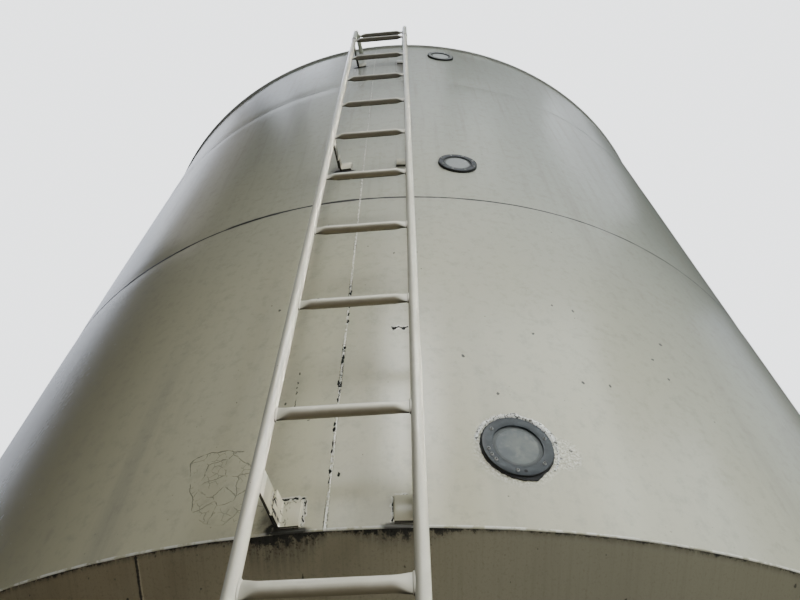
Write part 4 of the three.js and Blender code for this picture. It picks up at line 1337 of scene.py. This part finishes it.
# The crust's noises are an amount and the stations from knot to knot. Its width and height are what
# is usual, the least, the most, and what is left at the ends.
sealantCrust = {"from": -38.0, "to": 172.0, "stations": 260, "radius": 0.0748, "seed": 43,
                "noises": ((0.45, 22), (0.40, 9), (0.35, 4)),
                "width": (0.0120, 0.0040, 0.0165, 0.0004), "height": (0.0040, 0.0008, 0.0066, 0.0013)}


# Sealant round the ring's foot: a bead whose width and height are three noises of random knots
# added up, fading to nothing at both ends
def sealantPatch(place):
    rng = np.random.default_rng(sealantCrust["seed"])
    count = sealantCrust["stations"]
    turn = np.radians(np.linspace(sealantCrust["from"], sealantCrust["to"], count))
    ragged = sum(wandering(rng, count, amount, False, every) - 1
                 for amount, every in sealantCrust["noises"])
    fade = np.sin(np.linspace(0, math.pi, count)) ** 0.4
    width, height = (np.clip(usual * (1 + ragged), least, most) * fade + end
                     for usual, least, most, end in (sealantCrust["width"], sealantCrust["height"]))
    around = np.stack([np.cos(turn), np.sin(turn), np.zeros(count)], axis=-1)
    path = around * sealantCrust["radius"]
    path[:, 2] = -path[:, 0] ** 2 / (2 * shellRadius)
    points, quads, caps = bead(path, around, upwards, width, height, rng)
    return place(points), quads, caps


def onRing(degrees):  # a spot on a window ring's face
    turn, reach = math.radians(degrees), window["screw circle"]
    return reach * np.array([math.cos(turn), math.sin(turn), 0]) + [0, 0, window["proud"]]


# The rubber sheet: an oblong section from under the ring to its own ragged edge
def gasketPatch(level, place):
    angle = np.linspace(0, 2 * math.pi, 180, endpoint=False)
    turns, reaches = np.transpose(rubberReach[level])
    reach = np.interp(np.degrees(angle), turns, reaches)
    past = np.clip((reach - window["outer"]) / 0.004, 0, 1)
    reach = reach + past * (0.0006 * np.sin(23 * angle) + 0.0004 * np.sin(41 * angle + 1))
    under = window["outer"] - window["gasket tuck"]
    rings = []
    for radius, lift in ((under, 0.0), (reach, 0.0), (reach, 1.0), (under, 1.0)):
        x, y = radius * np.cos(angle), radius * np.sin(angle)
        off = lift * window["gasket thickness"] - x ** 2 / (2 * shellRadius) - 0.0002
        rings.append(np.stack([x, y, off], axis=-1))
    return loft(place(np.stack(rings)), closed=True)


def makeWindows():
    outer, inner, proud, edge = (window[key] for key in ("outer", "hole", "proud", "edge"))
    pane, front, back, rim = (window[key] for key in ("pane", "pane front", "pane back", "pane rim"))
    head, foot, pole = (window[key] for key in ("screw head", "foot", "pole"))
    profile = [[outer, foot], [outer, proud - edge], [outer - 0.3 * edge, proud - 0.3 * edge],
               [outer - edge, proud], [inner + edge, proud], [inner + 0.3 * edge, proud - 0.3 * edge],
               [inner, proud - edge], [inner, front + fitGap], [pane + fitGap, front + fitGap],
               [pane + fitGap, foot]]
    disc = [[pole, back], [pane, back], [pane, front - rim], [pane - rim, front], [pole, front]]
    pan = [[0.0003, -0.001], [head, -0.001], [head, 0.0008], [head * 0.88, 0.0018], [head * 0.62, 0.0024],
           [head * 0.56, 0.0023], [head * 0.50, 0.0009], [0.0003, 0.0009]]
    recess = [[pole, 0.0008], [head * 0.50, 0.0008], [head * 0.50, 0.0011], [pole, 0.0011]]
    for level, (azimuth, height) in windows.items():
        place = partial(onWall, azimuth=azimuth, radius=shellRadius, height=height)
        ring = loft(place(turned(profile, window["turns"])), closed=True)
        makePiece(f"window_ring_{level}_turned", [ring], ringCoating, [f"window_ring_{level}"], sharp=30)
        sheet = loft(place(turned(disc, window["turns"])))
        makePiece(f"window_pane_{level}_sheet", [sheet], paneCloud, [f"window_pane_{level}"], sharp=30)
        screws = [loft(place(onRing(turn) + turned(pan, 18))) for turn in windowScrews[level]]
        makePiece(f"window_screws_{level}", screws, zincScrew, sharp=50)
        # A black disc on the floor of each screw head's socket: painted shade
        socketShades = [loft(place(onRing(turn) + turned(recess, 14))) for turn in windowScrews[level]]
        makePiece(f"window_screw_socket_shades_{level}", socketShades, gasketRubber, sharp=50)
        if level == emptyHole["level"]:
            wide, low, high = (emptyHole[key] for key in ("radius", "low", "high"))
            spot = [[pole, low], [wide, low], [wide, high], [pole, high]]
            # A black disc in the empty screw hole, painted shade of the hole
            hole = loft(place(onRing(emptyHole["turn"]) + turned(spot, 20)))
            makePiece(f"window_screw_hole_{level}", [hole], holeShade, sharp=50)
            makePiece(f"window_sealant_{level}", [sealantPatch(place)], paleSealant, sharp=60)
        makePiece(f"window_gasket_{level}", [gasketPatch(level, place)], gasketRubber, sharp=30)


# The ladder: two rails of tube that bend back to the shell at the top, and rungs of the same
# tube whose ends are pressed into upright blades and welded to the rails
ladder = {"tube": 0.0213, "corners": 28, "bend": 0.060, "bend steps": 12, "return half spacing": 0.110,
          "foot": 0.050, "foot thickness": 0.006, "flat length": 0.030, "flat width": 0.007,
          "flat height": 0.029, "rung steps": 15, "elbow bead": (0.006, 0.0026),
          "foot bead": (0.006, 0.0025), "shell bead": (0.008, 0.003), "rung bead": (0.006, 0.0022),
          "rung bead off": 0.0006, "rung overlap": 0.0004, "shell overlap": 0.003,
          "foot corner": 0.004, "straight steps": 40, "seed": 51}
firstRung = nodeBox("rung_01")
railRadius = ladder["tube"] / 2
railX = firstRung[1][0] + railRadius + fitGap
railY = (firstRung[0][1] + firstRung[1][1]) / 2
railTopZ = nodeBox("ladder_rail_left")[1][2] - railRadius


# A rung's circle at each station, squeezed to a blade at both ends by a smooth step
def rungPatch(halfLength, centre):
    steps = np.linspace(0, 1, ladder["rung steps"])
    taper = -halfLength + steps * ladder["flat length"]
    x = np.concatenate([taper, -taper[::-1]])
    flat = 1 - rampTo(halfLength - np.abs(x), ladder["flat length"])
    wide = railRadius * (1 + flat * (ladder["flat width"] / ladder["tube"] - 1))
    tall = railRadius * (1 + flat * (ladder["flat height"] / ladder["tube"] - 1))
    angle = np.linspace(0, 2 * math.pi, ladder["corners"], endpoint=False)
    outline = np.stack([np.broadcast_to(x[:, None], (len(x), len(angle))), wide[:, None] * np.cos(angle),
                        tall[:, None] * np.sin(angle)], axis=-1)
    return loft(centre + outline)


def makeLadder():
    rng = np.random.default_rng(ladder["seed"])
    beads = []
    half, thickness = ladder["return half spacing"], ladder["foot thickness"]
    wallY = axisY - math.sqrt(shellRadius ** 2 - half ** 2)
    around = circle(32)
    for name, side in sides.items():
        corner = np.array([side * railX, railY, railTopZ])
        goal = np.array([side * half, wallY + ladder["shell overlap"], railTopZ])
        inwards = (goal - corner) / np.linalg.norm(goal - corner)
        angle = np.linspace(0, math.pi / 2, ladder["bend steps"])[:, None]
        elbow = corner + ladder["bend"] * ((1 - np.cos(angle)) * inwards + (np.sin(angle) - 1) * upwards)
        straight = np.linspace(thickness / 2, elbow[0][2], ladder["straight steps"])[:-1]
        upright = np.stack([np.full_like(straight, corner[0]), np.full_like(straight, railY), straight],
                           axis=-1)
        path = np.concatenate([upright, elbow, goal[None]])
        rail = rod(path, railRadius, ladder["corners"], plumb[0])
        footMiddle = np.array([corner[0], railY, thickness / 2])
        foot = plate(roundedOblong(ladder["foot"], ladder["foot"], ladder["foot corner"]), thickness,
                     footMiddle, plumb)
        makePiece(f"ladder_rail_{name}_tube", [rail, foot], railEnamel, [f"ladder_rail_{name}"], sharp=45)
        # Round welds: below the elbow, at the foot, and where the tube meets the shell
        joint = np.array([corner[0], railY, ladderJoint["height"]])
        beads.append(bead(joint + around * railRadius, upwards, around, *ladder["elbow bead"], rng,
                          closed=True))
        low = footMiddle + upwards * thickness / 2
        beads.append(fillet(low + around * railRadius, around, upwards, *ladder["foot bead"], rng))
        azimuth = side * math.asin(half / shellRadius)
        path = onWall(around * railRadius, azimuth, shellRadius, railTopZ)
        basis = np.stack([roundWay(azimuth), upwards, outOf(azimuth)])
        beads.append(fillet(path, around, upwards, *ladder["shell bead"], rng, basis))

    # A fillet round each pressed end of a rung, on the rail
    end, off = circle(20)[:, [2, 0, 1]], ladder["rung bead off"]
    ring = end * [0, ladder["flat width"] / 2 + off, ladder["flat height"] / 2 + off]
    outward = end * [1, 1, 0.4]
    outward /= np.linalg.norm(outward, axis=1, keepdims=True)
    for name in [f"rung_{number:02d}" for number in range(1, 17)] + ["rung_top"]:
        low, high = nodeBox(name)
        middle = (low + high) / 2
        half = (high[0] - low[0]) / 2 + ladder["rung overlap"]
        makePiece(name + "_tube", [rungPatch(half, middle)], ladderEnamel, [name], sharp=45)
        for side in sides.values():
            spot = middle + np.array([side * (half - 2 * ladder["rung overlap"]), 0, 0])
            beads.append(fillet(spot + ring, outward, -side * plumb[0], *ladder["rung bead"], rng))
    makePiece("ladder_welds", beads, ladderEnamel, sharp=70)


# Brackets: an angle clip on the shell and a flat bar from it to the rail, all arc welded
bracket = {"clip": 0.036, "depth": 0.038, "height": 0.048, "thickness": 0.005, "heel": 0.004,
           "bar height": 0.042, "bar gap": 0.008, "overlap": 0.001, "clip sunk": 0.0002,
           "bead": (0.006, 0.0024), "bead sunk": 0.0006, "bead step": 0.004, "seed": 61}


# The section of an angle: two flat legs with a round inner corner
def anglePoints(mirror):
    t, heel, toe = bracket["thickness"], bracket["heel"], bracket["clip"] + bracket["overlap"]
    bend = np.linspace(0, math.pi / 2, 5)
    corner = [[t + heel - heel * math.sin(b), t + heel - heel * math.cos(b)] for b in bend]
    outline = [[0, 0], [toe, 0], [toe, t]] + corner + [[t, bracket["depth"]], [0, bracket["depth"]]]
    points = np.array(outline)
    points[:, 0] *= mirror
    return points


# A straight bead between two points, which are local to a bracket as the bead's directions are
def straightBead(centre, basis, rng, ends, across, out):
    start, end = centre + np.array(ends, float) @ basis
    count = max(int(np.linalg.norm(end - start) / bracket["bead step"]), 4)
    part = np.linspace(0, 1, count)[:, None]
    path = start * (1 - part) + end * part
    across, out = np.array([across, out], float) @ basis
    return bead(path, across, out, *bracket["bead"], rng)


def makeBrackets():
    rng = np.random.default_rng(bracket["seed"])
    railAzimuth = math.atan2(railX, axisY - railY)
    reach = math.hypot(railX, axisY - railY) - railRadius + fitGap  # a little into the rail
    t, half, barHalf = bracket["thickness"], bracket["height"] / 2, bracket["bar height"] / 2
    barBack, barEnd = shellRadius + bracket["bar gap"], shellRadius + bracket["depth"]
    face, root = shellRadius - bracket["bead sunk"], math.sqrt(0.5)
    bar = np.array([[-t / 2, barBack], [t / 2, barBack], [t / 2, reach], [-t / 2, reach]])
    beads = []
    for level in levels:
        for name, side in sides.items():
            node = f"ladder_bracket_{level}_{name}"
            low, high = nodeBox(node)
            azimuth = side * railAzimuth
            basis = np.stack([roundWay(azimuth), outOf(azimuth), upwards])
            centre = roundPoint(azimuth, 0.0, (low[2] + high[2]) / 2)
            heel, toe = -side * (t / 2 - bracket["overlap"]), -side * (t / 2 + bracket["clip"])
            cheek = side * t / 2
            angle = anglePoints(-side) + np.array([heel, shellRadius - bracket["clip sunk"]])
            clip = plate(angle, bracket["height"], centre, basis)
            flat = plate(bar, bracket["bar height"], centre, basis)
            makePiece(node + "_weldment", [clip, flat], ladderEnamel, [node], bevel=0.0007, sharp=40)
            # Beads: the clip to the shell round its edges, the bar to the clip, the bar to the rail
            run = partial(straightBead, centre, basis, rng)
            beads += [run([[heel, face, up * half], [toe, face, up * half]], [0, root, -up * root],
                          [0, root, up * root]) for up in (-1, 1)]
            beads += [run([[x, face, -half], [x, face, half]], [way * root, root, 0],
                          [-way * root, root, 0]) for x, way in ((toe, side), (heel, -side))]
            beads += [run([[heel, barBack, up * barHalf], [heel, barEnd, up * barHalf]],
                          [root, 0, up * root], [side * root, 0, up * root]) for up in (-1, 1)]
            beads.append(run([[cheek, reach, -barHalf], [cheek, reach, barHalf]], [side * root, root, 0],
                             [side * root, -root, 0]))
    makePiece("bracket_welds", beads, ladderEnamel, sharp=70)


for stage, make in (
    ("shell plates", makeShell), ("shell welds", makeShellWelds), ("cone", makeCone),
    ("outlet", makeOutlet), ("roof", makeRoof), ("roof openings", makeRoofOpenings),
    ("legs", makeLegs), ("windows", makeWindows), ("ladder", makeLadder), ("brackets", makeBrackets),
):
    make()
    print(stage)


# The view of the photograph: from the ground in front of the ladder, looking steeply up
view = {"x": 0.155, "y": -2.3394, "z": 1.5958, "heading": 4.6, "pitch": 53.207, "roll": 0.215,
        "lens": 27.5}


def makeCamera():
    data = bpy.data.cameras.new("camera")
    data.sensor_width = 36.0
    data.sensor_fit = "HORIZONTAL"
    data.lens = view["lens"]
    data.clip_start = 0.01
    camera = bpy.data.objects.new("camera", data)
    bpy.context.scene.collection.objects.link(camera)
    camera.location = (view["x"], view["y"], view["z"])
    turn = math.radians(view["heading"])
    tilt = math.radians(view["pitch"])
    forward = np.array([-math.sin(turn) * math.cos(tilt), math.cos(turn) * math.cos(tilt),
                        math.sin(tilt)])
    right = np.array([math.cos(turn), math.sin(turn), 0.0])
    up = np.cross(right, forward)
    roll = math.radians(view["roll"])
    rolledRight = right * math.cos(roll) - up * math.sin(roll)
    rolledUp = up * math.cos(roll) + right * math.sin(roll)
    axes = Matrix(np.stack([rolledRight, rolledUp, -forward], axis=1).tolist())
    camera.rotation_mode = "QUATERNION"
    camera.rotation_quaternion = axes.to_quaternion()
    bpy.context.scene.camera = camera


# A plain pale studio: a weak even world, a floor that fades into the background, and soft boxes.
# A row holds a box's azimuth (degrees from the ladder side), elevation and distance from the spot it
# faces, then that spot, its size, the angle of its beam, its watts and its tint. The broad ones light
# the right front, the narrow ones the ladder and the window, and the tall panel at the left gives
# the grazing shine.
studio = {"background": "#eef1f4", "background strength": 3.0, "fill": "#fff0dc", "fill strength": 0.02,
          "floor fade": (-3.0, 7.0)}
softBoxes = {
    "key": (37, 30, 6.0, (0.2, -1.0, 3.3), (3.6, 3.0), 180, 112, "#edf5f5"),
    "low right": (62, 13, 6.0, (0.2, -1.0, 3.3), (3.0, 3.0), 180, 70, "#ebf5f8"),
    "high front": (12, 57, 6.0, (0.2, -1.0, 3.3), (3.0, 3.0), 180, 21, "#eef3f9"),
    "high right front": (60, 59, 6.0, (0.3, -1.0, 3.6), (2.8, 2.8), 180, 18, "#eef3f9"),
    "top": (0, 78, 6.8, (-0.5, -1.2, 4.2), (3.6, 3.0), 180, 28, "#f0f5fb"),
    "window low box": (38, 2, 5.0, (0.7, -1.3, 2.3), (1.0, 0.8), 26, 2.0, "#e8eff8"),
    "rail box": (80, 12, 5.0, (0.0, -1.68, 3.8), (0.3, 3.4), 8, 4.6, "#fdf8ee"),
    "upper left glow": (-88, 60, 3.0, (-0.9, -0.9, 4.2), (1.4, 1.4), 120, 1.2, "#f0ece6"),
    "ladder box": (3, 40, 5.5, (0.3, -1.35, 3.0), (1.2, 1.6), 36, 3.4, "#f4f7f8"),
    "window box": (0, 25, 5.5, (0.6, -1.3, 2.8), (1.0, 1.6), 34, 2.3, "#f4f7f8"),
    "cross box": (-20, 30, 5.5, (1.0, -1.2, 3.0), (1.0, 2.0), 36, 1.9, "#f4f7f8"),
    "left panel": (-113, 37, 5.0, (-0.8, -0.75, 3.6), (2.0, 8.0), 180, 90, "#e6edfb"),
    "right panel": (104, 28, 5.0, (0.8, -0.75, 3.0), (1.6, 3.0), 180, 8, "#dde8ff"),
    "high left": (-80, 76, 6.2, (-0.5, -1.2, 4.6), (2.0, 2.0), 180, 29, "#eaf0fc"),
    "zenith left": (-70, 84, 6.2, (-0.5, -1.2, 4.6), (2.0, 2.0), 180, 28, "#eaf0fc"),
    "high right": (99, 60, 6.0, (0.9, -1.2, 4.3), (1.9, 1.9), 180, 12, "#eef3fb"),
    "ground glow": (35, -30, 2.4, (0.6, -1.2, 2.1), (2.0, 1.2), 180, 26, "#f4f2ea"),
    "back": (165, 8, 8.5, (0.0, 0.5, 2.9), (6.0, 4.0), 180, 400, "#ffffff"),
}


def makeStudio():
    world, add = emptied(bpy.data.worlds.new("studio"))
    bpy.context.scene.world = world
    seen = add("Background", Color=linear(studio["background"]), Strength=studio["background strength"])
    fill = add("Background", Color=linear(studio["fill"]), Strength=studio["fill strength"])
    direct = add("LightPath", output="Is Camera Ray")
    both = add("MixShader", direct, fill, seen)
    add("OutputWorld", Surface=both)
    for name, (turn, tilt, distance, spot, size, spread, watts, tint) in softBoxes.items():
        data = bpy.data.lights.new(name, "AREA")
        data.shape = "RECTANGLE"
        data.size, data.size_y = size
        data.spread = math.radians(spread)
        data.energy = watts
        data.color = linear(tint)[:3]
        azimuth, elevation = math.radians(turn), math.radians(tilt)
        way = outOf(azimuth) * math.cos(elevation) + upwards * math.sin(elevation)
        lamp = bpy.data.objects.new(name, data)
        lamp.visible_camera = False
        bpy.context.scene.collection.objects.link(lamp)
        lamp.location = Vector(spot) + Vector(way) * distance
        lamp.rotation_mode = "QUATERNION"
        lamp.rotation_quaternion = Vector(-way).to_track_quat("-Z", "Y")

    half = 30.0
    mesh = bpy.data.meshes.new("studio_floor")
    mesh.from_pydata([(-half, -half, 0), (half, -half, 0), (half, half, 0), (-half, half, 0)], [],
                     [(0, 1, 2, 3)])
    floor = bpy.data.objects.new("studio_floor", mesh)
    bpy.context.scene.collection.objects.link(floor)
    material, add = emptied(bpy.data.materials.new("pale_floor"))
    ground = add("BsdfPrincipled", linear("#b8b7b3"), Roughness=0.8)
    position = add("TexCoord", output="Object")
    away = add("VectorMath LENGTH", position, output="Value")
    far = share(add, (away, *studio["floor fade"]), add("LightPath", output="Is Camera Ray"))
    glow = add("Emission", Color=linear(studio["background"]), Strength=studio["background strength"])
    faded = add("MixShader", far, ground, glow)
    beneath = add("NewGeometry", output="Backfacing")
    seenThrough = add("BsdfTransparent")
    shader = add("MixShader", beneath, faded, seenThrough)
    add("OutputMaterial", Surface=shader)
    mesh.materials.append(material)


makeCamera()
makeStudio()
print("camera and studio")
